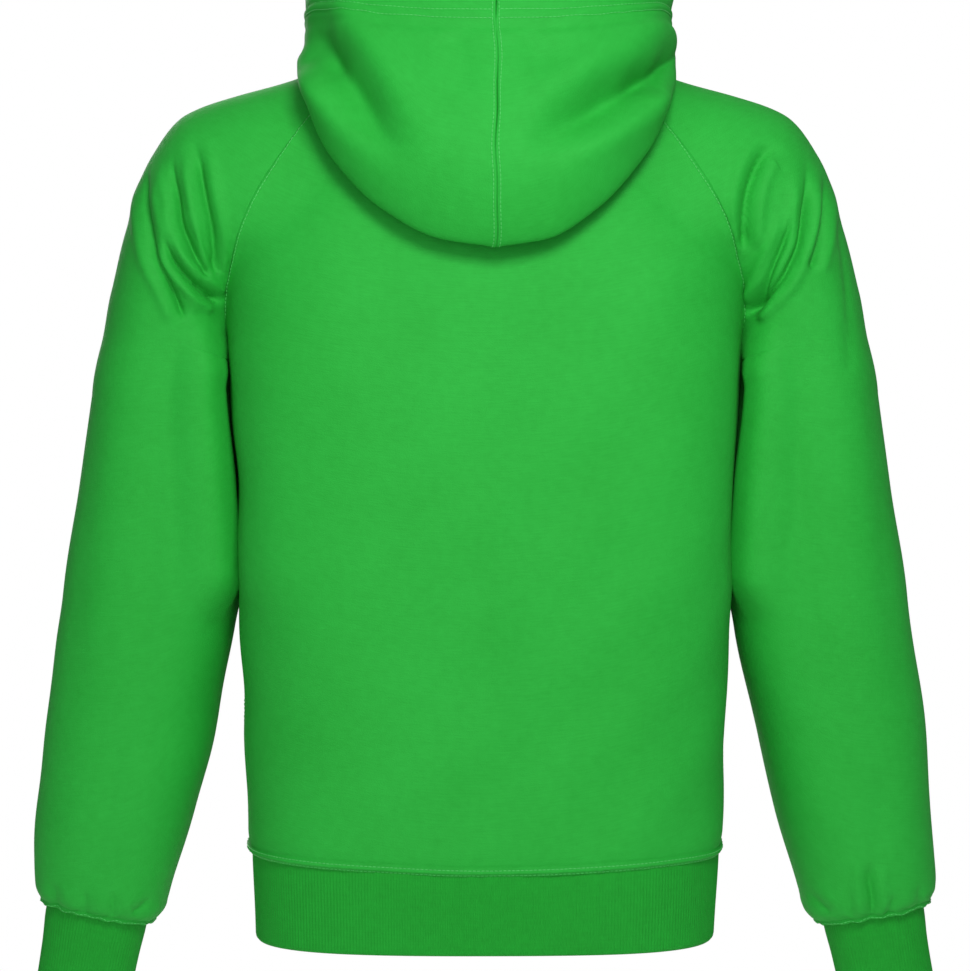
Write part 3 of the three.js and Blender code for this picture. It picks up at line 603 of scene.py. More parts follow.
sleeve_columns = crowded(166, (0, 0.012, 3), (0.15, 0.1, 2.2), (0.85, 0.1, 1.6), (1, 0.012, 3))
sleeve_rows = crowded(124, (0.7, 0.25, 0.6))
fan_rows = np.linspace(0, 1, 21)
forearm_rows = crowded(94, (1, 0.04, 4))
sleeve_wrap = len(sleeve_rows) - 1


def eased(grid, weight):
    """Rounds a ridge off: each point moves towards the mean of its neighbours in the row, as
    far as its weight says, again and again."""
    for _ in range(EASING_ROUNDS):
        smooth = grid.copy()
        smooth[:, 1:-1] = grid[:, 1:-1] / 2 + (grid[:, :-2] + grid[:, 2:]) / 4
        grid = grid + weight[..., None] * (smooth - grid)
    return grid


sleeve_grid = drawn_in(sleeve_surface(sleeve_columns, sleeve_rows, fan_rows, forearm_rows))
on_shoulder = 1 - smoothstep(np.abs(sleeve_grid[..., 1]), *RIDGE_HALF)
sleeve_grid = eased(sleeve_grid, on_shoulder * smoothstep(sleeve_grid[..., 2], *RIDGE_TOP))
print("sleeve", sleeve_grid.shape[:2], "a tube from row", sleeve_wrap)

# %% [markdown]
# ## Waistband
#
# The waistband is a straight strip of doubled rib. It is sewn to the inside of the hem and
# draws it in, so it is the trunk's section at the hem, set in a few millimetres.

# %% Waistband surface
HEM_TUCK, BAND_BOTTOM = 5, -676
BAND_TOP_INSET, BAND_BOTTOM_INSET = 2.4, 6


def band_surface(columns, rows):
    """Columns from the right front edge (-1) past the centre back (0) to the left front edge
    (1), rows from just above the hem down to the fold."""
    v, t = columns[None, :], rows[:, None]
    side = np.where(v < 0, -1, 1)
    turn = np.abs(v) * edge_turn(HEM_CENTRE)
    edge = hem_height(turn)
    surface = body_point(turn, edge, trunk_field)
    level = unit(outward(trunk_field, surface) * [1, 1, 0])
    band = surface - level * lerp(BAND_TOP_INSET, BAND_BOTTOM_INSET, t)[..., None]
    z = lerp(edge + HEM_TUCK, BAND_BOTTOM, t)
    return points(side * band[..., 0], band[..., 1], z)


band_girth = run(band_surface(np.linspace(-1, 1, 241), np.array([0.0, 1.0])), 1)[:, -1]
print("waistband girth at the hem and at the fold:", np.round(band_girth), "mm")

# %% [markdown]
# ## Hood
#
# The hood is cut in two halves with a seam over the head. When it lies down it turns inside
# out on itself: up from the neck seam as a short stand, over, down the back as an inner wall,
# round a soft bottom and up again on the outside to the face opening, whose rim stays up
# behind the neck. So each half is one sheet, and its long way round is a path through five
# guide points in an upright plane. A table gives them for planes all round the neck.

# %% Hood surface
HOOD = table(
    "around standR standZ innerR innerZ bottomR bottomZ bulgeR bulgeZ rimR rimZ",
    (0, 84, 30, 113, -50, 146, -158, 173, -98, 134, 37),
    (15, 86, 31, 115, -46, 150, -152, 175, -93, 136, 38),
    (30, 92, 33, 122, -36, 158, -129, 178, -78, 141, 42),
    (45, 100, 36, 127, -16, 164, -88, 179, -48, 146, 48),
    (60, 106, 38, 126, 2, 157, -40, 167, -18, 146, 54),
    (80, 108, 38, 120, 16, 138, -8, 149, 0, 137, 54),
    (100, 102, 30, 112, 12, 128, -8, 140, 0, 130, 42),
    (125, 95, 4, 104, -10, 118, -26, 128, -16, 120, 10),
    (150, 90, -28, 97, -36, 108, -46, 116, -38, 111, -21),
    (180, 91, -63, 92, -58, 94, -54, 96, -50, 98, -46),
)
NECK_LIFT, HOOD_CLEARANCE, HOOD_SEWN = 0.6, 3, 0.08
PUSHES = 4               # how often a point is pushed out, because the form's field is uneven
HOOD_GUIDES = ("stand", "inner", "bottom", "bulge", "rim")
hood_at = through(HOOD, "around")


def hood_paths(guides, shares):
    """Smooth paths through guide points (guide, path, axis), at shares of their lengths. The
    slope at a guide point is the chord between its neighbours over the distance between them."""
    steps = np.linalg.norm(np.diff(guides, axis=0), axis=-1)
    far = np.concatenate([np.zeros((1, steps.shape[1])), np.cumsum(steps, axis=0)])
    before = np.concatenate([guides[:1], guides[:-1]])
    after = np.concatenate([guides[1:], guides[-1:]])
    gap = np.concatenate([far[1:], far[-1:]]) - np.concatenate([far[:1], far[:-1]])
    slope = (after - before) / gap[..., None]
    at = shares[:, None] * far[-1]
    i = np.clip((at[None] > far[:, None]).sum(axis=0) - 1, 0, len(guides) - 2)
    column = np.arange(guides.shape[1])[None, :]
    width = (far[i + 1, column] - far[i, column])[..., None]
    t = (at - far[i, column])[..., None] / width
    ends = guides[i, column], guides[i + 1, column]
    return hermite(t, *ends, width * slope[i, column], width * slope[i + 1, column])


def clear_of_form(p, distance):
    """Points moved out until they stand a distance clear of the worn form."""
    for _ in range(PUSHES):
        short = np.maximum(distance - worn_form(p), 0)
        p = p + outward(worn_form, p) * short[..., None]
    return p


def hood_surface(columns, rows):
    """The left half: columns from centre back (0) to the front corner (1), rows from the neck
    seam (0) to the rim of the face opening (1)."""
    turn = 180 * columns
    seam = body_point(turn, neck_height(turn))
    s = hood_at(turn)
    out = [np.hypot(seam[:, 0], seam[:, 1]), *(s[f"{guide}R"] for guide in HOOD_GUIDES)]
    up = [seam[:, 2] + NECK_LIFT, *(s[f"{guide}Z"] for guide in HOOD_GUIDES)]
    path = hood_paths(np.stack([out, up], axis=-1), rows)
    a = np.radians(turn)[None, :]
    free = points(path[..., 0] * np.sin(a), path[..., 0] * np.cos(a), path[..., 1])
    sewn = rows < HOOD_SEWN
    clear = clear_of_form(free, HOOD_CLEARANCE)
    return np.where(sewn[:, None, None], free, clear)


hood_columns = crowded(112, (0, 0.02, 2.5))
hood_rows = crowded(150, (0.87, 0.05, 1.5), (1, 0.01, 2), (0.55, 0.15, 0.6))
hood_grid = hood_surface(hood_columns, hood_rows)
print("hood half", hood_grid.shape[:2])

# %% [markdown]
# ## Creases
#
# Sweatshirt fleece is thick, so it folds in few, soft places: long troughs that start on the shoulder
# and gather in the armpit, wide hollows where the hood hangs from its rim, and short puckers where a
# sleeve is gathered into its cuff. A cloth simulation would give folds, but not these ones, and it
# would move the seams. So each crease is listed one by one: a line over the cloth, how deep and how
# wide its trough is, and how high the rolls stand beside it.

# %% Relief of one crease
LINE_POINTS = 60


def smooth_line(guides):
    """A Catmull-Rom curve through guide points: each leaves along the chord between its
    neighbours."""
    guides = np.array(guides, dtype=float)
    padded = np.concatenate([2 * guides[:1] - guides[1:2], guides, 2 * guides[-1:] - guides[-2:-1]])
    at = np.linspace(0, len(guides) - 1, LINE_POINTS)
    i = np.clip(at.astype(int), 0, len(guides) - 2)
    t = (at - i)[:, None]
    start, end = padded[i + 1], padded[i + 2]
    return hermite(t, start, end, (end - padded[i]) / 2, (padded[i + 3] - start) / 2)


def beside(flat, line):
    """For each flat point: its distance to a line, and the share of the line's length at which
    it is nearest."""
    gap = np.linalg.norm(flat[:, None, :] - line[None, :, :], axis=-1)
    nearest = np.argmin(gap, axis=1)
    i = np.clip(nearest - 1, 0, len(line) - 2)
    best = np.full(len(flat), np.inf)
    share = np.zeros(len(flat))
    for k in (i, np.clip(nearest, 0, len(line) - 2)):
        step = line[k + 1] - line[k]
        t = np.clip(((flat - line[k]) * step).sum(axis=1) / (step**2).sum(axis=1), 0, 1)
        gap = np.linalg.norm(flat - line[k] - t[:, None] * step, axis=1)
        closer = gap < best
        best = np.where(closer, gap, best)
        share = np.where(closer, (k + t) / (len(line) - 1), share)
    return best, share


def crease_relief(grid, crease, faded=(0.3, 0.3), sharp=0.55):
    """The height that one crease adds, seen along y: minus its depth times the sum of a narrow
    and a broad bell curve of the distance over its width, plus a low roll on either side. Sharp
    is the narrow curve's share. It fades in over the first share of its line and out over the
    last."""
    depth, width, roll, *guides = crease
    line = smooth_line(guides)
    flat = np.stack([np.abs(grid[..., 0]), grid[..., 2]], axis=-1).reshape(-1, 2)
    height = np.zeros(len(flat))
    low, high = line.min(axis=0) - 5 * width, line.max(axis=0) + 5 * width
    near = ((flat > low) & (flat < high)).all(axis=1)
    away, share = beside(flat[near], line)
    core = sharp * bell(away, 0, 0.55 * width)
    flanks = (1 - sharp) * bell(away, 0, 1.4 * width)
    rolls = roll * bell(away, 2.5 * width, 1.2 * width)
    fade = smoothstep(share, 0, faded[0]) * smoothstep(1 - share, 0, faded[1])
    height[near] = depth * (rolls - core - flanks) * fade
    return height.reshape(grid.shape[:-1])


sample = crease_relief(points([[0.0, 3.0, 9.0]], 0, -20), (2.0, 3.0, 0.3, (0, 0), (0, -40)))
print("a crease of 2 mm, at 0, 3 and 9 mm from its line:", np.round(sample, 2))

# %% [markdown]
# The tables hold depth, width and roll, then the line's points as distance out from the centre
# and height. No two sleeves crease alike, so each has its own rows. The front of a sleeve
# creases much like the back, and borrows the rows of the other sleeve.

# %% Crease tables
ARMPIT_LEFT = [
    (
        7.5, 4.0, 0.3,
        (255, -84), (256, -100), (256, -116), (252, -135),
        (246, -159), (238, -175), (231, -189), (223, -208),
    ),
    (9.0, 3.4, 0.35, (240, -142), (234, -159), (226, -170), (213, -182), (198, -193)),
    (
        7.5, 3.6, 0.3,
        (234, -80), (233, -98), (229, -116), (226, -135), (219, -151), (210, -168), (206, -174),
    ),
    (
        7.5, 3.6, 0.3,
        (221, -66), (214, -86), (211, -101), (208, -117), (204, -137), (202, -154), (200, -172),
    ),
    (3.0, 2.8, 0.25, (212, -140), (208, -152), (203, -164), (200, -172)),
]
ARMPIT_RIGHT = [
    (
        8.0, 4.2, 0.35,
        (224, -77), (210, -81), (202, -93), (197, -106), (194, -120), (193, -136), (193, -156),
    ),
    (
        8.5, 3.6, 0.35,
        (229, -122), (226, -138), (221, -152), (215, -165), (208, -181), (203, -192), (198, -203),
    ),
    (
        9.0, 3.8, 0.35,
        (242, -78), (241, -104), (240, -119), (237, -136), (233, -152),
        (227, -165), (220, -177), (209, -190), (198, -203),
    ),
    (7.0, 3.6, 0.3, (256, -92), (256, -113), (254, -129), (251, -144), (247, -156), (242, -170)),
    (2.0, 5.5, 0.1, (264, -120), (270, -152), (274, -206), (273, -250)),
]
CUFF_LEFT = [
    (2.3, 4.0, 0.3, (334, -636), (334, -650), (333, -664)),
    (1.8, 3.5, 0.3, (309, -640), (309, -654), (310, -666)),
    (2.1, 3.5, 0.3, (286, -642), (287, -656), (289, -668)),
    (2.9, 3.5, 0.4, (258, -650), (266, -658), (275, -663)),
]
CUFF_RIGHT = [
    (5.0, 4.0, 0.35, (299, -618), (296, -634), (299, -650), (300, -672)),
    (2.2, 3.0, 0.3, (317, -644), (313, -656), (311, -668)),
    (2.6, 3.5, 0.4, (250, -646), (260, -656), (270, -664)),
    (1.7, 3.5, 0.3, (338, -636), (337, -650), (335, -664)),
    (1.4, 3.5, 0.3, (281, -642), (282, -656), (284, -668)),
]
SLEEVE_SOFT_LEFT = [
    (1.6, 14.0, 0.2, (236, -250), (246, -330), (252, -420), (262, -500)),
    (1.4, 16.0, 0.2, (292, -230), (300, -330), (310, -430), (318, -540)),
    (1.2, 10.0, 0.2, (276, -520), (286, -570), (300, -620)),
]
SLEEVE_SOFT_RIGHT = [
    (1.5, 14.0, 0.2, (232, -270), (240, -350), (250, -440), (268, -540)),
    (1.6, 15.0, 0.2, (286, -220), (298, -300), (306, -400), (322, -520)),
    (1.3, 10.0, 0.2, (306, -540), (302, -580), (300, -616)),
]
HOOD_LEFT = [
    (
        17.0, 11.5, 0.25,
        (144, 22), (132, 4), (115, -22), (103, -42), (89, -66), (73, -94), (60, -118),
    ),
    (7.0, 9.0, 0.25, (150, -8), (134, -14), (120, -20), (105, -22)),
    (3.0, 9.0, 0.1, (34, 0), (27, -16), (22, -40), (16, -60)),
]
HOOD_RIGHT = [
    (
        18.0, 11.5, 0.25,
        (164, -8), (146, -16), (131, -25), (102, -43), (77, -58), (56, -70), (34, -86), (20, -98),
    ),
    (6.0, 6.5, 0.35, (150, -24), (136, -30), (120, -32), (110, -40), (102, -52)),
    (3.0, 11.0, 0.1, (18, 0), (30, -20), (44, -38)),
]
ARMPIT_FADE, HOOD_FADE = (0.35, 0.08), (0.2, 0.5)      # shares of a line to fade in and out over
BACK_SIDE, FRONT_DEPTH = (-8, 16), 0.8      # from front to back over these y, and less deep in front


def creased(grid, behind, before, faded=(0.3, 0.3), sharp=0.55):
    """The relief of all creases in two lists: one on the side that faces back, one on the side
    that faces front. The caller lets it die away at a seam."""
    back_side = smoothstep(grid[..., 1], *BACK_SIDE)
    height = sum(crease_relief(grid, crease, faded, sharp) for crease in behind) * back_side
    if before:
        front = FRONT_DEPTH * sum(crease_relief(grid, crease, faded, sharp) for crease in before)
        height = height + front * (1 - back_side)
    return height


print("creases at the armpits:", len(ARMPIT_LEFT + ARMPIT_RIGHT))
print("creases on the hood:", len(HOOD_LEFT + HOOD_RIGHT))

# %% [markdown]
# ## Seams
#
# Where two panels are sewn, both edges turn down into the seam, and a row of topstitching
# presses the layers flat beside it. The thread also draws the cloth in a little at each
# stitch, so a real seam is never a clean line. Each panel gets this as relief that depends on
# the distance to its edge. It dies away right at the edge, so that two panels always meet.

# %% Relief beside seams
SEAM_SWELL, PUCKER, SEAL = 0.5, 0.25, 2.2
STITCH_GROOVE = 0.45


def waves(along, first, second, phase, drift):
    """Two sines of unlike lengths, which never repeat over a garment. The second's phase is the
    first's times the drift."""
    return np.sin(along * TURN / first + phase) + np.sin(along * TURN / second + drift * phase)


def seam_relief(away, along, topstitch=(), lift=0.0, phase=0.0):
    """A low swell beside the seam, a shallow groove at each topstitched line, a faint ridge
    between, and puckers every 9 to 14 mm along it that fade within 8 mm. The panel on top of
    the seam's layers is lifted over 5 mm, and the one below them sinks."""
    height = (lift + SEAM_SWELL) * bell(away, 0, 5)
    for line in topstitch:
        ridge = bell(away, (0.8 + line) / 2, 0.4 * line)
        height = height + STITCH_GROOVE * (ridge - bell(away, line, 0.8))
    return height + PUCKER * waves(along, 9.3, 14.1, phase, 2) * np.exp(-away / 4)


def sealed(height, away):
    """Lets all relief die away over the last 2 mm before a seam, where two panels must meet."""
    return height * smoothstep(away, 0, SEAL)


HEM_LINES = (1.4, 6.4)
LONG_WAVES, WAVE_HEIGHT = 5, 0.35


def hem_relief(away, along, phase, pucker=PUCKER):
    """A lapped hem: the edge rolls under, two stitched lines stand 1.4 and 6.4 mm above it, the
    cloth between them stands proud as a flat lip, and the cloth above is drawn in."""
    grooves = -1.6 * sum(bell(away, line, 0.9) for line in (0, *HEM_LINES))
    lip = 1.1 * smoothstep(away, 0.2, 2.2) * (1 - smoothstep(away, 5.2, 7.6))
    hollow = -0.6 * bell(away, 9.5, 3)
    return grooves + lip + hollow + pucker * waves(along, 17, 11.3, phase, 1.7) * np.exp(-away / 9)


def unevenness(grid, seed):
    """A few long shallow waves, so that no panel is as true as a machined part: sines of the
    height and the place across, 60 to 190 mm long and about a third of a millimetre high."""
    draw = np.random.default_rng(seed)
    x, y, z = np.moveaxis(grid, -1, 0)
    total = np.zeros(x.shape)
    for _ in range(LONG_WAVES):
        length = draw.uniform(60, 190)
        heading = draw.uniform(0, TURN)
        phase = draw.uniform(0, TURN)
        across = (x + 0.6 * y) * np.cos(heading) + z * np.sin(heading)
        total += np.sin(across * TURN / length + phase)
    return WAVE_HEIGHT * total


swell = seam_relief(np.array([0.0, 5.0, 15.0]), 0)
print("swell beside a seam, 0, 5 and 15 mm away:", np.round(swell, 2))

# %% [markdown]
# ## Materials
#
# Each finish starts from what the real one is. A material's colours are written as sRGB hex
# values, as a dyer's chart would give them, and one function turns them to the linear values
# that light is summed in. Patterns on cloth read the panel's own UV map, whose units are
# metres along and across the cloth, so that wales and courses follow the panel as it bends.

# %% Colour and node helpers
def linear(colour):
    """An sRGB hex colour as linear red, green, blue and alpha."""
    parts = np.array([int(colour[i : i + 2], 16) for i in (1, 3, 5)]) / 255
    curved = np.where(parts <= 0.04045, parts / 12.92, ((parts + 0.055) / 1.055) ** 2.4)
    return (*(float(part) for part in curved), 1.0)


class Finish:
    """A material with one Principled shader, and the few kinds of node that feed it here. Where
    a name holds a space, its setting is written with an underscore."""

    def __init__(self, name, **shader):
        self.material = bpy.data.materials.new(name)
        self.material.use_nodes = True
        self.tree = self.material.node_tree
        self.shader = self.tree.nodes["Principled BSDF"]
        for key, value in shader.items():
            self.shader.inputs[key.replace("_", " ")].default_value = value

    def add(self, kind, links=None, **settings):
        """Adds a node. Settings name its properties or its sockets' values, and links go from
        socket names or numbers to the sockets that feed them."""
        node = self.tree.nodes.new(kind)
        for name, value in settings.items():
            if hasattr(node, name):
                setattr(node, name, value)
            else:
                node.inputs[name.replace("_", " ")].default_value = value
        for name, source in (links or {}).items():
            self.tree.links.new(source, node.inputs[name])
        return node

    def place(self):
        """The place on the piece, in metres."""
        return self.add("ShaderNodeTexCoord").outputs["Object"]

    def flat(self):
        """The place on the flat cloth, in metres."""
        return self.add("ShaderNodeUVMap", uv_map="cloth").outputs[0]

    def scaled(self, vector, *scale):
        """A place stretched by a factor along each axis."""
        return self.add("ShaderNodeMapping", {"Vector": vector}, Scale=scale).outputs[0]

    def noise(self, vector, scale, detail=2):
        """Noise from 0 to 1, whose spots are about 1 / scale across."""
        return self.add("ShaderNodeTexNoise", {"Vector": vector}, Scale=scale, Detail=detail).outputs[0]

    def plus(self, first, second):
        """The sum of two values."""
        return self.add("ShaderNodeMath", {0: first, 1: second}, operation="ADD").outputs[0]

    def feed(self, source, name):
        """Links a socket to one of the shader's."""
        self.tree.links.new(source, self.shader.inputs[name])

    def colour(self, share, low, high):
        """Colours the shader from low to high as the share goes from 0 to 1."""
        mix = self.add("ShaderNodeMix", {0: share}, data_type="RGBA")
        mix.inputs[6].default_value = linear(low)
        mix.inputs[7].default_value = linear(high)
        self.feed(mix.outputs[2], "Base Color")

    def bump(self, height, strength, depth):
        """Tilts the light's bounce as if the surface rose by the height times the depth."""
        node = self.add("ShaderNodeBump", {"Height": height}, Strength=strength, Distance=depth)
        self.feed(node.outputs[0], "Normal")


print("a mid green in linear light:", np.round(linear("#1dae36"), 3))

# %% [markdown]
# ### Fleece, rib and thread
#
# The panels are sweatshirt fleece: a cotton-rich jersey face outside and a brushed back
# inside. The combed face has a faint broad gloss, which whitens the green where the light
# falls straight on it and leaves it deep in the folds. Its wales are about 0.9 mm apart, too
# fine to show whole, so they are drawn 1.5 mm apart and very shallow. The dye takes a little
# unevenly along the courses.

# %% Cloth materials
WALE, COURSE = 0.0015, 0.0011


def cotton(name, deep, bright, gloss, roughness, depth):
    """Brushed or ribbed cotton. Two close dye colours are mottled by the sum of three noises:
    streaks along the courses, spots of 7 mm and patches of 70 mm. The bump is rounded wales
    broken into stitches by the courses, under a fuzz of fibre half a millimetre across."""
    finish = Finish(name, Roughness=roughness, Specular_IOR_Level=gloss)
    flat, place = finish.flat(), finish.place()
    streaks = finish.noise(finish.scaled(flat, 70, 900, 1), 1)
    spots, patches = finish.noise(place, 150, 4), finish.noise(place, 14)
    total = finish.plus(finish.plus(streaks, spots), patches)
    share = finish.add("ShaderNodeMapRange", {0: total}, From_Min=1.0, From_Max=2.0).outputs[0]
    finish.colour(share, deep, bright)
    stitched = finish.noise(finish.scaled(flat, 1 / WALE, 1 / COURSE, 1), 1, 1)
    finish.bump(finish.plus(stitched, finish.noise(place, 2200, 3)), 0.5, depth)
    return finish.material


fleece = cotton("brushed_sweatshirt_fleece", "#13a22c", "#1dae36", 0.42, 0.76, 0.00035)
rib_knit = cotton("rib_knit", "#0a9322", "#109f29", 0.35, 0.8, 0.0003)
print("cloth materials:", fleece.name, rib_knit.name)

# %% [markdown]
# Topstitching is a spun polyester thread, smoother than the cloth and dyed to match, so it
# shows by its gloss more than by its colour. Its twist is drawn as fine slanting bands.

# %% Thread and tape materials
TWIST = 0.0006

thread = Finish("spun_polyester_thread", Roughness=0.55, Sheen_Weight=0.1)
bands = {"bands_direction": "DIAGONAL", "Scale": 0.3 / TWIST}
twist = thread.add("ShaderNodeTexWave", {"Vector": thread.place()}, **bands)
thread.colour(twist.outputs["Fac"], "#3cc455", "#55cf68")

woven = Finish("woven_polyester_tape", Roughness=0.7, Sheen_Weight=0.05)
threads = woven.scaled(woven.flat(), 1100, 1100, 1)
weave = woven.add("ShaderNodeTexChecker", {"Vector": threads}, Scale=1)
weave.inputs["Color1"].default_value = linear("#2ea03f")
weave.inputs["Color2"].default_value = linear("#36b049")
woven.feed(weave.outputs[0], "Base Color")
woven.bump(weave.outputs[1], 0.4, 0.0002)
print("sewn-in materials:", thread.material.name, woven.material.name)

# %% [markdown]
# ### Zip teeth and slider
#
# The teeth are acetal, moulded straight on to the tape in the cloth's colour: smooth, with a
# low gloss. The slider, pull, stops and box are die-cast zinc with a tumbled nickel plate,
# which leaves a soft grain of scratches about 0.2 mm wide.

# %% Plastic and metal materials
acetal = Finish("moulded_acetal", Roughness=0.38, IOR=1.48)
acetal.colour(acetal.noise(acetal.place(), 400), "#2da441", "#38b54b")

nickel = Finish("tumbled_nickel_plate", Metallic=1.0, Roughness=0.3)
scratches = nickel.noise(nickel.scaled(nickel.place(), 5000, 900, 900), 1, 3)
nickel.colour(scratches, "#b9bcbf", "#d3d6d8")
worn = nickel.add("ShaderNodeMapRange", {0: scratches}, To_Min=0.24, To_Max=0.42)
nickel.feed(worn.outputs[0], "Roughness")
print("zip materials:", acetal.material.name, nickel.material.name)

# %% [markdown]
# ## Meshes from grids
#
# A grid turns into one sheet of four-sided faces. Both pieces of a pair are drawn on the left,
# each with creases of its own, and the right one is then mirrored. A mirror turns the faces
# inside out, so their corners are listed the other way round. The sheet then gets its
# thickness inwards from a Solidify modifier, as the wall of the frame's panel has it. Each
# cloth piece is named after the node that it replaces.

# %% Meshes from grids
SIDES = ("left", "right")
MIRROR = np.array([-1.0, 1.0, 1.0])


def placed(name, data):
    """An object of some data, in the scene."""
    item = bpy.data.objects.new(name, data)
    bpy.context.scene.collection.objects.link(item)
    return item


def make_object(name, vertices, faces, material):
    """A mesh object at the origin, its vertices given in millimetres, with smooth faces."""
    mesh = bpy.data.meshes.new(name)
    mesh.from_pydata((vertices * MM).tolist(), [], [list(face) for face in faces])
    mesh.polygons.foreach_set("use_smooth", np.ones(len(mesh.polygons), dtype=bool))
    mesh.materials.append(material)
    mesh.update()
    piece = placed(name, mesh)
    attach(piece, "garment")
    return piece


def between(a, b):
    """Four-sided faces between two lines of corner numbers, or between lines side by side."""
    return np.stack([a[:-1], a[1:], b[1:], b[:-1]], axis=-1).reshape(-1, 4)


def tube_faces(n):
    """Four-sided faces round tubes, from corner numbers by tube, ring and place in the ring."""
    following = np.roll(n, -1, axis=2)
    faces = np.stack([n[:, :-1], n[:, 1:], following[:, 1:], following[:, :-1]], axis=-1)
    return faces.reshape(-1, 4)


def grid_faces(n):
    """Four-sided faces of a grid of corner numbers."""
    return between(n[:, :-1], n[:, 1:])


def numbered(grid, sewn_from=None):
    """A number for each point of a grid. From the row sewn_from on, the last column is the first."""
    number = np.arange(grid[..., 0].size).reshape(grid.shape[:2])
    if sewn_from is not None:
        number[sewn_from:, -1] = number[sewn_from:, 0]
    return number


def replacing(node, vertices, faces_of, number, grid, material, reverse):
    """The cloth object that replaces a node, with a UV map in metres along and across a grid.
    The faces come from a function of corner numbers: some corners share a number where cloth is
    sewn to itself, but each keeps its own place on the flat map."""
    own = numbered(grid)
    faces, flat_faces = (faces_of(n)[:, ::-1] if reverse else faces_of(n) for n in (number, own))
    used, faces = np.unique(faces, return_inverse=True)
    piece = make_object(f"{node}_cloth", vertices[used], faces.reshape(-1, 4), material)
    flat = np.stack([run(grid, 1), run(grid, 0)], axis=-1).reshape(-1, 2) * MM
    layer = piece.data.uv_layers.new(name="cloth")
    layer.data.foreach_set("uv", flat[flat_faces % own.size].reshape(-1))
    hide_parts(node)
    return piece


def cloth_piece(node, grid, material, thickness, sewn_from=None, reverse=True):
    """A sheet from a grid, with its thickness on the inner side."""
    number = numbered(grid, sewn_from)
    piece = replacing(node, grid.reshape(-1, 3), grid_faces, number, grid, material, reverse)
    solid = piece.modifiers.new("thickness", "SOLIDIFY")
    solid.thickness = thickness * MM
    solid.offset = -1
    return piece


def doubled_piece(node, outer, inner, material, sewn_from=None, reverse=True):
    """A closed band of doubled cloth between an outer and an inner grid of the same shape."""
    size = outer[..., 0].size

    def shell(n):
        walls = grid_faces(n)
        first, last, left, right = (between(e, e + size) for e in (n[0], n[-1], n[:, 0], n[:, -1]))
        ends = [left[:, ::-1], right] if sewn_from is None else []
        return np.concatenate([walls, walls[:, ::-1] + size, first, last[:, ::-1], *ends])

    vertices = np.concatenate([outer.reshape(-1, 3), inner.reshape(-1, 3)])
    return replacing(node, vertices, shell, numbered(outer, sewn_from), inner, material, reverse)


def both_sides(name, grids, material, thickness, sewn_from=None):
    """The left and right pieces of a pair, from grids that are both drawn on the left."""
    left = cloth_piece(f"{name}_left", grids["left"], material, thickness, sewn_from)
    right = grids["right"] * MIRROR
    return left, cloth_piece(f"{name}_right", right, material, thickness, sewn_from, reverse=False)


print("faces of a grid of 4 by 3 points:", len(grid_faces(numbered(np.zeros((4, 3, 3))))))

# %% [markdown]
# ### Body panels
#
# The back meets the sleeves at the raglan seams and the fronts at the side seams. The
# topstitching lies 2.4 mm from the seam. Where the arm hangs against the body, both are
# pressed flatter.

# %% Back and front pieces
FLEECE, RIB = 2.0, 3.0          # thickness of the fleece and of the doubled rib
TOPSTITCH, FRONT_LINE = 2.4, 6.0
LAPPED = 0.5                    # a body panel is lifted by this at its seams, and a sleeve sinks
TAUT_BESIDE_ZIP = (12, 60)      # the long waves grow over this distance from the zip
BODY_PRESSED, SLEEVE_PRESSED = (5.0, 0.4), (17.0, 3.5)      # amount and contact height
PRESSED_FROM, PRESSED_TO = (-245, -200), (-440, -395)       # heights where it fades in and out


def pressed(out, z, amount, contact):
    """Cloth squeezed between the arm and the body from the armpit down to where they part: it
    bulges by the amount at its quarters and by the contact height where it touches."""
    sideways = np.abs(out[..., 0])
    quarters = smoothstep(sideways, 0.2, 0.75) - (1 - contact / amount) * smoothstep(sideways, 0.85, 1)
    return amount * quarters * smoothstep(z, *PRESSED_TO) * (1 - smoothstep(z, *PRESSED_FROM))


def edge_relief(grid, seed):
    """Seam relief down a panel's first column, and a hem on its last row."""
    height = seam_relief(run(grid, 1), run(grid, 0), (TOPSTITCH,), LAPPED, seed)
    return height + hem_relief(from_ends(grid, 0)[1], run(grid, 1), phase=seed)


back_out = -facing(back_grid)
back_height = edge_relief(back_grid, 1) + unevenness(back_grid, 11)
back_height = back_height + seam_relief(
    from_ends(back_grid, 1)[1], run(back_grid, 0), (TOPSTITCH,), LAPPED, phase=3
)
back_height = back_height + pressed(back_out, back_grid[..., 2], *BODY_PRESSED)
back_height = sealed(back_height, np.minimum(*from_ends(back_grid, 1)))
back_grid = pushed(back_grid, back_out, back_height)
back_cloth = cloth_piece("back", back_grid, fleece, FLEECE)


def front_side(seed):
    """One front, drawn on the wearer's left, with its own long waves. The front edge is folded
    and stitched to the zip's tape 6 mm in."""
    out = -facing(front_grid)
    from_edge = from_ends(front_grid, 1)[1]
    height = edge_relief(front_grid, seed)
    height = height + unevenness(front_grid, seed) * smoothstep(from_edge, *TAUT_BESIDE_ZIP)
    height = height - 0.3 * bell(from_edge, FRONT_LINE, 0.9) + 0.5 * bell(from_edge, 3, 2)
    height = height + pressed(out, front_grid[..., 2], *BODY_PRESSED)
    return pushed(front_grid, out, sealed(height, run(front_grid, 1)))


front_sides = {"left": front_side(21), "right": front_side(22)}
fronts = both_sides("front", front_sides, fleece, FLEECE)
print("back faces:", len(back_cloth.data.polygons), "front faces:", len(fronts[0].data.polygons))

# %% [markdown]
# ### Sleeves and cuffs
#
# Above the underarm the sleeve's two long edges are raglan seams, and below it they are sewn
# to each other along the inside of the arm. The cuff draws the sleeve's end into gathers.

# %% Sleeve pieces
SEALED_DOWN_TO = -215            # the height of the underarm, where the raglan seams end
CALM_ALONG, CALM_BELOW = (330, 380), (-450, -380)       # where pressed cloth can't ripple


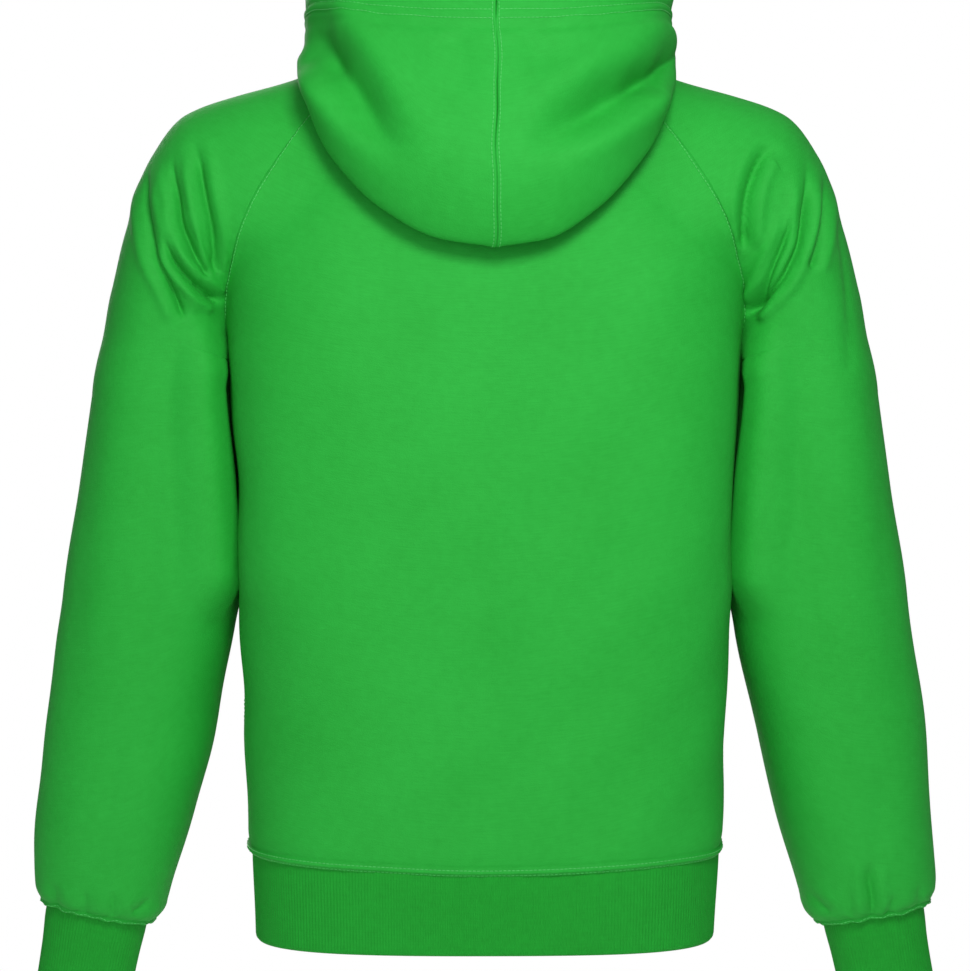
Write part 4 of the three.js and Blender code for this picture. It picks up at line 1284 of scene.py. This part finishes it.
def sleeve_side(own, other, soft, seed):
    """One sleeve, drawn on the wearer's left, with its own armpit creases behind, those of the
    other side in front, and its soft creases on both."""
    away = np.minimum(*from_ends(sleeve_grid, 1))
    down = run(sleeve_grid, 0)
    out = -facing(sleeve_grid, sleeve_wrap)
    height = seam_relief(away, down, (), -LAPPED, seed) * (1 - 0.8 * smoothstep(down, *CALM_ALONG))
    height = height + hem_relief(from_ends(sleeve_grid, 0)[1], run(sleeve_grid, 1), seed, 0.45)
    height = height + creased(sleeve_grid, own, other, ARMPIT_FADE, 0.66) * smoothstep(away, -1, 7)
    height = height + creased(sleeve_grid, soft, soft)
    z = sleeve_grid[..., 2]
    height = height + unevenness(sleeve_grid, seed) * (1 - 0.8 * smoothstep(z, *CALM_BELOW))
    height = height + pressed(out * (out[..., :1] < 0), z, *SLEEVE_PRESSED)
    beyond = np.where(z < SEALED_DOWN_TO, SEAL, away)
    return pushed(sleeve_grid, out, sealed(height, beyond))


sleeve_sides = {
    "left": sleeve_side(ARMPIT_LEFT, ARMPIT_RIGHT, SLEEVE_SOFT_LEFT + CUFF_LEFT, 31),
    "right": sleeve_side(ARMPIT_RIGHT, ARMPIT_LEFT, SLEEVE_SOFT_RIGHT + CUFF_RIGHT, 32),
}
sleeves = both_sides("sleeve", sleeve_sides, fleece, FLEECE, sleeve_wrap)
print("sleeve faces:", len(sleeves[0].data.polygons))

# %% [markdown]
# Rib is knitted in columns that stand up and columns that sink back, here 2.4 mm apart. They
# are real ridges in the mesh, four columns of faces to a rib, because they show in outline at
# the cuff's edge. The rib stretches where it is sewn on and closes up towards its fold.

# %% Cuffs and waistband
RIB_HEIGHT, COLUMNS_PER_RIB = 0.24, 4
CUFF_RIBS, BAND_RIBS = 96, 440


def ribbed(grid, directions):
    """Ribs as a cosine of the column number, softer near the top seam, and a rounded fold at
    the bottom edge where the doubled cloth turns under."""
    columns = np.arange(grid.shape[1])[None, :]
    wave = np.cos(columns * TURN / COLUMNS_PER_RIB + 0.4) * RIB_HEIGHT
    from_top, from_fold = from_ends(grid, 0)
    height = wave * (0.55 + 0.45 * smoothstep(from_top, 0, 14))
    fold = -1.4 * bell(from_fold, 0, 1.3)
    height = height * smoothstep(from_fold, -0.5, 2.5) + fold
    return pushed(grid, directions, height)


edge_rows = crowded(13, (1, 0.06, 3))
cuff_grid = cuff_surface(np.linspace(0, 1, CUFF_RIBS * COLUMNS_PER_RIB + 1), edge_rows)
cuff_out = -facing(cuff_grid, 0)


def cuff_side(node, seed, mirror, reverse):
    """A cuff with slack waves of its own."""
    relaxed = pushed(cuff_grid, cuff_out, 0.5 * unevenness(cuff_grid, seed))
    outer = ribbed(relaxed, cuff_out) * mirror
    inner = (relaxed - cuff_out * RIB) * mirror
    return doubled_piece(node, outer, inner, rib_knit, 0, reverse)


cuffs = [cuff_side("cuff_left", 41, 1, True), cuff_side("cuff_right", 42, MIRROR, False)]
band_grid = band_surface(np.linspace(-1, 1, BAND_RIBS * COLUMNS_PER_RIB + 1), edge_rows)
band_out = -facing(band_grid)
band_grid = pushed(band_grid, band_out, 0.7 * unevenness(band_grid, 51))
band_inner = band_grid - band_out * RIB
waistband = doubled_piece("waistband", ribbed(band_grid, band_out), band_inner, rib_knit)
print("cuff faces:", len(cuffs[0].data.polygons), "waistband faces:", len(waistband.data.polygons))

# %% [markdown]
# ### Hood
#
# The hood's rim has a wide hem, stitched down with a twin needle about 25 mm and 32 mm below
# the edge. The halves meet in a seam over the head that wanders a little off the centre line.

# %% Hood pieces
RIM_LINES = (24.5, 31.5)
RIM_PROFILE = [      # distance from the rim, width and rise: twin grooves and what swells beside them
    (24.5, 1.1, -1.3), (31.5, 1.1, -1.3), (28, 2.2, 0.9), (12, 9, 1.2), (38, 4, -1.6),
]
HOOD_LINE, SLIDE, SLIDE_FADE = 2.6, -8.5, 120
OUTER_WALL, HOOD_TURNS, RIM_RISES = (0.62, 0.7), (0.35, 0.62), (0.82, 1.0)      # shares of the rows


def hood_side(creases, seed):
    """One half of the hood: creases and hem lines on the outer wall, and the centre seam."""
    from_rim = from_ends(hood_grid, 0)[1]
    along = run(hood_grid, 1)
    outer_wall = smoothstep(hood_rows, *OUTER_WALL)[:, None]
    height = 0.4 * seam_relief(along, run(hood_grid, 0), (HOOD_LINE,), 0.5, seed)
    for middle, width, rise in RIM_PROFILE:
        height = height + rise * bell(from_rim, middle, width)
    height = height + creased(hood_grid, creases, (), HOOD_FADE, 0.1) * outer_wall
    height = height + unevenness(hood_grid, seed) * outer_wall
    moved = pushed(hood_grid, facing(hood_grid), sealed(height, along))
    moved[:, 0, 0] = 0
    return moved


def hung(grid, narrower, rim_wider):
    """Slides the outer wall of the hood sideways at the centre seam, fading out over 120 mm,
    and lets the seam waver about 1 mm to either side. Then makes the half a little narrower or
    wider: no hood hangs quite evenly."""
    x, z = grid[..., 0], grid[..., 2]
    shift = SLIDE + 0.8 * np.sin(z / 19) + 0.4 * np.sin(z / 7.3 + 1)
    outer = smoothstep(hood_rows, *HOOD_TURNS)[:, None]
    rim = smoothstep(hood_rows, *RIM_RISES)[:, None]
    fade = outer * (1 - smoothstep(np.abs(x), 0, SLIDE_FADE))
    return grid + points(shift * fade + x * (rim_wider * rim - narrower * outer), 0, 0)


hood_halves = {
    "left": hung(hood_side(HOOD_LEFT, 61), 0.035, 0.03),
    "right": hung(hood_side(HOOD_RIGHT, 62) * MIRROR, 0.0, 0.06),
}
hoods = [
    cloth_piece("hood_left", hood_halves["left"], fleece, FLEECE, reverse=False),
    cloth_piece("hood_right", hood_halves["right"], fleece, FLEECE, reverse=True),
]
print("hood faces:", len(hoods[0].data.polygons))

# %% [markdown]
# ## Topstitching
#
# Each visible stitch is a short length of thread that comes up out of the cloth, lies on it
# and goes down again. Stitches are laid along a line at a given distance from a panel's edge,
# 3.2 mm from one to the next.

# %% Stitches along lines
STITCH_PITCH, STITCH_LENGTH, THREAD = 3.2, 2.5, 0.32
ARC = [(-0.5, -0.45, 0.4), (-0.3, 0.12, 1), (0.3, 0.12, 1), (0.5, -0.45, 0.4)]
THREAD_SIDES = 4
FIRST_STITCH, UNSEWN = 3, 4      # where a line's first stitch begins, and how much of it has none


def beside_column(grid, away, distance):
    """The points of each row at a distance from the edge that away is measured from."""
    ahead = away[:, -1:] > away[:, :1]
    order = grid if ahead.all() else grid[:, ::-1]
    far = away if ahead.all() else away[:, ::-1]
    i = np.clip((far < distance).sum(axis=1), 1, far.shape[1] - 1)
    row = np.arange(len(grid))
    share = (distance - far[row, i - 1]) / (far[row, i] - far[row, i - 1])
    return lerp(order[row, i - 1], order[row, i], np.clip(share, 0, 1)[:, None])


def beside_row(grid, distance):
    """The points of each column at a distance from the last row."""
    turned = np.swapaxes(grid, 0, 1)
    return beside_column(turned, from_ends(turned, 1)[1], distance)


def outward_along(grid, out, line):
    """The cloth's outward direction at the grid point nearest to each point of a line."""
    flat, directions = grid.reshape(-1, 3), out.reshape(-1, 3)
    gap = ((line[:, None, :] - flat[None, ::2, :]) ** 2).sum(axis=-1)
    return directions[::2][np.argmin(gap, axis=1)]


def stitches(name, lines):
    """One mesh of every stitch along some lines, each a pair of points and outward directions.
    A stitch is a four-sided tube, closed at both ends, whose middle line is an arc."""
    vertices, faces, start = [], [], 0
    ring = np.arange(THREAD_SIDES) * TURN / THREAD_SIDES
    for line, out in lines:
        far = run(line[None], 1)[0]
        count = int((far[-1] - UNSEWN) / STITCH_PITCH)
        centre = FIRST_STITCH + (np.arange(count) + 0.5) * STITCH_PITCH
        arc = np.array(ARC)
        at = centre[:, None] + arc[None, :, 0] * STITCH_LENGTH
        place = np.stack([np.interp(at, far, line[:, k]) for k in range(3)], axis=-1)
        up = unit(np.stack([np.interp(at, far, out[:, k]) for k in range(3)], axis=-1))
        along = unit(place[:, -1:] - place[:, :1])
        side = unit(np.cross(along, up))
        middle = place + up * (arc[:, 1] * THREAD + 0.1)[None, :, None]
        wide = (arc[:, 2] * THREAD)[None, :, None, None]
        circle = np.cos(ring)[:, None] * side[:, :, None] + np.sin(ring)[:, None] * up[:, :, None]
        tube = middle[:, :, None] + wide * circle
        n = np.arange(tube[..., 0].size).reshape(tube.shape[:3]) + start
        vertices.append(tube.reshape(-1, 3))
        faces += [tube_faces(n), n[:, 0, ::-1], n[:, -1]]
        start += tube[..., 0].size
    return make_object(name, np.concatenate(vertices), np.concatenate(faces), thread.material)


def edge_line(grid, distance, end, rows=slice(None), sign=-1):
    """A line beside a panel's first (0) or last (1) column, with its outward directions."""
    part = grid[rows]
    line = beside_column(part, from_ends(part, 1)[end], distance)
    return line, outward_along(part[:, ::4], sign * facing(part)[:, ::4], line)


def hem_line(grid, distance, sign=-1, wrap=None):
    """A line above a panel's last row, with its outward directions."""
    line = beside_row(grid, distance)
    near = from_ends(grid, 0)[1].min(axis=1) < distance + 25
    out = sign * facing(grid, wrap)
    return line, outward_along(grid[near], out[near], line)


def mirrored(lines):
    """The same lines on the other side."""
    return [(line * MIRROR, out * MIRROR) for line, out in lines]


print("stitches to a metre:", round(1 / (STITCH_PITCH * MM)))

# %% [markdown]
# The body panels are stitched 2.4 mm beside the raglan seams, the fronts again beside the
# zip, the hems with twin lines above the rib, and the hood beside its seam and under its rim.

# %% Topstitching of the panels
body_lines = [edge_line(back_grid, TOPSTITCH, 0), edge_line(back_grid, TOPSTITCH, 1)]
body_lines += [hem_line(back_grid, distance) for distance in HEM_LINES]
back_thread = stitches("back_topstitching", body_lines)

for side in SIDES:
    front = front_sides[side]
    lines = [edge_line(front, TOPSTITCH, 0), edge_line(front, FRONT_LINE, 1)]
    lines += [hem_line(front, distance) for distance in HEM_LINES]
    flip = mirrored if side == "right" else list
    stitches(f"front_{side}_topstitching", flip(lines))
    sleeve = sleeve_sides[side][sleeve_wrap:]
    lines = [hem_line(sleeve, distance, wrap=0) for distance in HEM_LINES]
    stitches(f"sleeve_{side}_topstitching", flip(lines))
    half = hood_halves[side]
    outer = hood_rows > 0.05
    sign = 1 if side == "left" else -1
    lines = [edge_line(half, HOOD_LINE, 0, outer, sign)]
    lines += [hem_line(half, distance, sign) for distance in RIM_LINES]
    stitches(f"hood_{side}_topstitching", lines)

# %% [markdown]
# ## Zip
#
# The zip runs on the centre line of the fronts, from the neck to the foot of the waistband.
# Each tape is woven and stitched behind its front edge. The moulded teeth of the two sides
# stand half a pitch apart, and each has a head wider than its neck, which locks it between
# the heads of the other side. Two guards of the slider hold the chain closed at the top.

# %% Zip line, tapes and teeth
TAPE_INNER, TAPE_OUTER, TAPE_THICKNESS, TAPE_BEHIND = 1.2, 15.0, 1.0, 0.3
ZIP_TOP, ZIP_BOTTOM, ABOVE_BAND = 1.0, 0.5, 1.0
TOOTH_PITCH = 3.0
CHAIN_FROM, CHAIN_TO = 11.5, 8.0
CHAIN_LOW, CHAIN_HIGH = 0.3, 2.7


def zip_line():
    """Points on the centre line, outward directions and the tape's depth behind them."""
    on_front = front_grid[:-1, -1] * [0, 1, 1]
    front_out = unit(-facing(front_grid)[:-1, -1] * [0, 1, 1])
    fine = band_surface(np.linspace(-1, 1, 241), np.linspace(0, 1, 9))
    on_band = fine[:, -1] * [0, 1, 1]
    band_out = unit(-facing(fine)[:, -1] * [0, 1, 1])
    above = on_band[:1] + [0, 0, ABOVE_BAND]
    p = np.concatenate([on_front[on_front[:, 2] > above[0, 2]], above, on_band])
    on_front_count = len(p) - 1 - len(on_band)
    n = np.concatenate([front_out[:on_front_count], band_out[:1], band_out])
    depth = np.where(np.arange(len(p)) < on_front_count, FLEECE + TAPE_BEHIND, RIB + TAPE_BEHIND)
    return p, n, depth


zip_p, zip_n, zip_depth = zip_line()
zip_far = run(zip_p[None], 1)[0]
zip_back = zip_p - zip_n * zip_depth[:, None]


def on_zip(far):
    """The tape's front face and the outward direction at distances down the zip."""
    place = np.stack([np.interp(far, zip_far, zip_back[:, k]) for k in range(3)], axis=-1)
    out = np.stack([np.interp(far, zip_far, zip_n[:, k]) for k in range(3)], axis=-1)
    return place, unit(out)


tape_far = np.linspace(ZIP_TOP, zip_far[-1] - ZIP_BOTTOM, 261)
tape_place = on_zip(tape_far)[0]
tape_x = np.linspace(TAPE_OUTER, TAPE_INNER, 12)
tape_grid = tape_place[:, None] + tape_x[None, :, None] * np.array([1.0, 0, 0])
tapes = both_sides("zip_tape", dict.fromkeys(SIDES, tape_grid), woven.material, TAPE_THICKNESS)

TOOTH = [
    (2.8, 0.8, 1.1), (2.6, 0.95, 1.2), (1.1, 0.6, 1.15),
    (0.3, 0.55, 1.15), (-0.5, 0.9, 1.15), (-1.3, 0.6, 0.9),
]
OCTAGON = [(1, -0.6), (1, 0.6), (0.6, 1), (-0.6, 1), (-1, 0.6), (-1, -0.6), (-0.6, -1), (0.6, -1)]


def teeth(side, first):
    """Vertices and faces of one side's teeth, lofted from sections across the zip."""
    far = np.arange(CHAIN_FROM + first, zip_far[-1] - CHAIN_TO - 1, TOOTH_PITCH)
    place, out = on_zip(far)
    down = unit(np.cross(out, [1.0, 0, 0]))
    x, half_length, half_height = np.array(TOOTH).T
    ring = np.array(OCTAGON)
    along = (ring[:, 0] * half_length[:, None])[None, ..., None] * down[:, None, None]
    ahead = (CHAIN_LOW + CHAIN_HIGH) / 2 + ring[:, 1] * half_height[:, None]
    across = points(side * x[:, None] + 0 * ring[:, 0], 0, 0)
    body = place[:, None, None] + along + ahead[None, ..., None] * out[:, None, None] + across
    n = np.arange(body[..., 0].size).reshape(body.shape[:3])
    root, head = n[:, 0], n[:, -1]
    caps = [root[:, [0, 1, 2, 3]], root[:, [0, 3, 4, 7]], root[:, [4, 5, 6, 7]]]
    caps += [head[:, [3, 2, 1, 0]], head[:, [7, 4, 3, 0]], head[:, [7, 6, 5, 4]]]
    faces = np.concatenate([tube_faces(n), *caps])
    return body.reshape(-1, 3), faces[:, ::-1] if side < 0 else faces


left_teeth, left_faces = teeth(1, 1.0)
right_teeth, right_faces = teeth(-1, 1.0 + TOOTH_PITCH / 2)
chain = make_object(
    "zip_teeth",
    np.concatenate([left_teeth, right_teeth]),
    np.concatenate([left_faces, right_faces + len(left_teeth)]),
    acetal.material,
)
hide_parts("zip_chain")

EDGE_ROUND = 0.18
for name in ("zip_slider", "zip_pull", "zip_box", "zip_stop_left", "zip_stop_right"):
    node = bpy.data.objects[name]
    node.data.materials.clear()
    node.data.materials.append(nickel.material)
    node.modifiers.new("weld", "WELD").merge_threshold = 0.01 * MM
    bevel = node.modifiers.new("bevel", "BEVEL")
    bevel.width = EDGE_ROUND * MM
    bevel.segments = 2
    bevel.harden_normals = True
print("teeth:", len(chain.data.vertices) // (len(TOOTH) * len(OCTAGON)))

# %% [markdown]
# ## Cut sizes
#
# Every panel states the size of the flat piece it is cut from: its widest row by its longest
# column, and the area inside that rectangle that the panel really takes. A sleeve is cut open
# along the inside of the arm, and a cuff or the waistband is a strip of its full girth.

# %% Sheets of cloth
def flat_size(grid):
    """The widest row, the longest column and the area of a grid, in metres."""
    width, length = run(grid, 1)[:, -1].max() * MM, run(grid, 0)[-1].max() * MM
    across, down = np.diff(grid, axis=1)[:-1], np.diff(grid, axis=0)[:, :-1]
    area = np.linalg.norm(np.cross(across, down), axis=-1).sum() * MM**2
    return round(float(width), 3), round(float(length), 3), round(float(area), 4)


def declare(piece, grid):
    """Prints a cloth piece's name and its flat cut."""
    width, length, area = flat_size(grid)
    area = min(area, width * length)
    print(f"{piece.name}: {width} x {length} m, area {area} m2")


declare(back_cloth, back_grid)
declare(waistband, band_grid)
for k, side in enumerate(SIDES):
    declare(fronts[k], front_sides[side])
    declare(sleeves[k], sleeve_sides[side])
    declare(hoods[k], hood_halves[side])
    declare(cuffs[k], cuff_grid)
    declare(tapes[k], tape_grid)

# %% [markdown]
# ## Stage
#
# The camera stands level behind the garment, 1.9 m away, and looks straight at its middle. Its
# lens is as long as it must be to see a strip 757 mm wide at that distance.

# %% Camera
CAMERA_Y, CAMERA_Z = 1.9, -0.33
FRAME_WIDTH = 0.7566
SENSOR = 36.0

camera_data = bpy.data.cameras.new("camera")
camera_data.sensor_fit = "HORIZONTAL"
camera_data.sensor_width = SENSOR
camera_data.lens = SENSOR * CAMERA_Y / FRAME_WIDTH
camera = placed("camera", camera_data)
camera.location = (0, CAMERA_Y, CAMERA_Z)
camera.rotation_euler = (np.pi / 2, 0, np.pi)
bpy.context.scene.camera = camera
print("lens:", round(camera_data.lens, 1), "mm")

# %% [markdown]
# The room is white all round. Its light is weak, so that folds stay deep, while the camera
# still sees pure white behind the garment. Large lamps do the rest: a key above and a little
# to one side, a broad one near the camera, and others for the front and the shoulders.

# %% Room and lamps
world = bpy.data.worlds.new("white_room")
bpy.context.scene.world = world
world.use_nodes = True
tree = world.node_tree
room = tree.nodes["Background"]
room.inputs["Color"].default_value = (1, 1, 1, 1)
room.inputs["Strength"].default_value = 0.22
seen = tree.nodes.new("ShaderNodeBackground")
seen.inputs["Color"].default_value = (1, 1, 1, 1)
seen.inputs["Strength"].default_value = 1.0
path = tree.nodes.new("ShaderNodeLightPath")
either = tree.nodes.new("ShaderNodeMixShader")
tree.links.new(path.outputs["Is Camera Ray"], either.inputs[0])
tree.links.new(room.outputs[0], either.inputs[1])
tree.links.new(seen.outputs[0], either.inputs[2])
tree.links.new(either.outputs[0], tree.nodes["World Output"].inputs[0])


def lamp(name, place, aim, size, power):
    """A square area lamp that faces a point."""
    data = bpy.data.lights.new(name, "AREA")
    data.shape = "SQUARE"
    data.size = size
    data.energy = power
    light = placed(name, data)
    away = np.array(place) - np.array(aim)
    light.location = place
    pitch = np.arctan2(np.hypot(away[0], away[1]), away[2])
    light.rotation_euler = (pitch, 0, np.arctan2(away[0], -away[1]))


MIDDLE = (0, 0, -0.3)
lamp("key", (-0.2, 1.3, 0.45), (0, 0, -0.2), 0.45, 13)
lamp("face", (0.0, 2.2, -0.3), MIDDLE, 1.5, 11)
lamp("fill", (0.9, 1.7, 0.0), MIDDLE, 1.0, 2)
lamp("front", (0.6, -2.4, 0.6), MIDDLE, 1.6, 48)
lamp("top", (0, 0.1, 1.6), MIDDLE, 1.2, 3)

# %% [markdown]
# A plain pale floor lies well below the hem. It is a stage, not a piece of the garment.

# %% Floor
floor_mesh = bpy.data.meshes.new("floor")
half, level = 1.35, -1.0
corners = [(-half, -half, level), (half, -half, level), (half, half, level), (-half, half, level)]
floor_mesh.from_pydata(corners, [], [(0, 1, 2, 3)])
floor = placed("floor", floor_mesh)
paper = Finish("pale_paper", Roughness=0.9)
paper.colour(paper.noise(paper.place(), 300), "#f2f2f0", "#f7f7f5")
floor_mesh.materials.append(paper.material)
print("floor at", level, "m")

# %% [markdown]
# Last, the view transform is set to Standard.

# %% View transform
bpy.context.scene.view_settings.view_transform = "Standard"
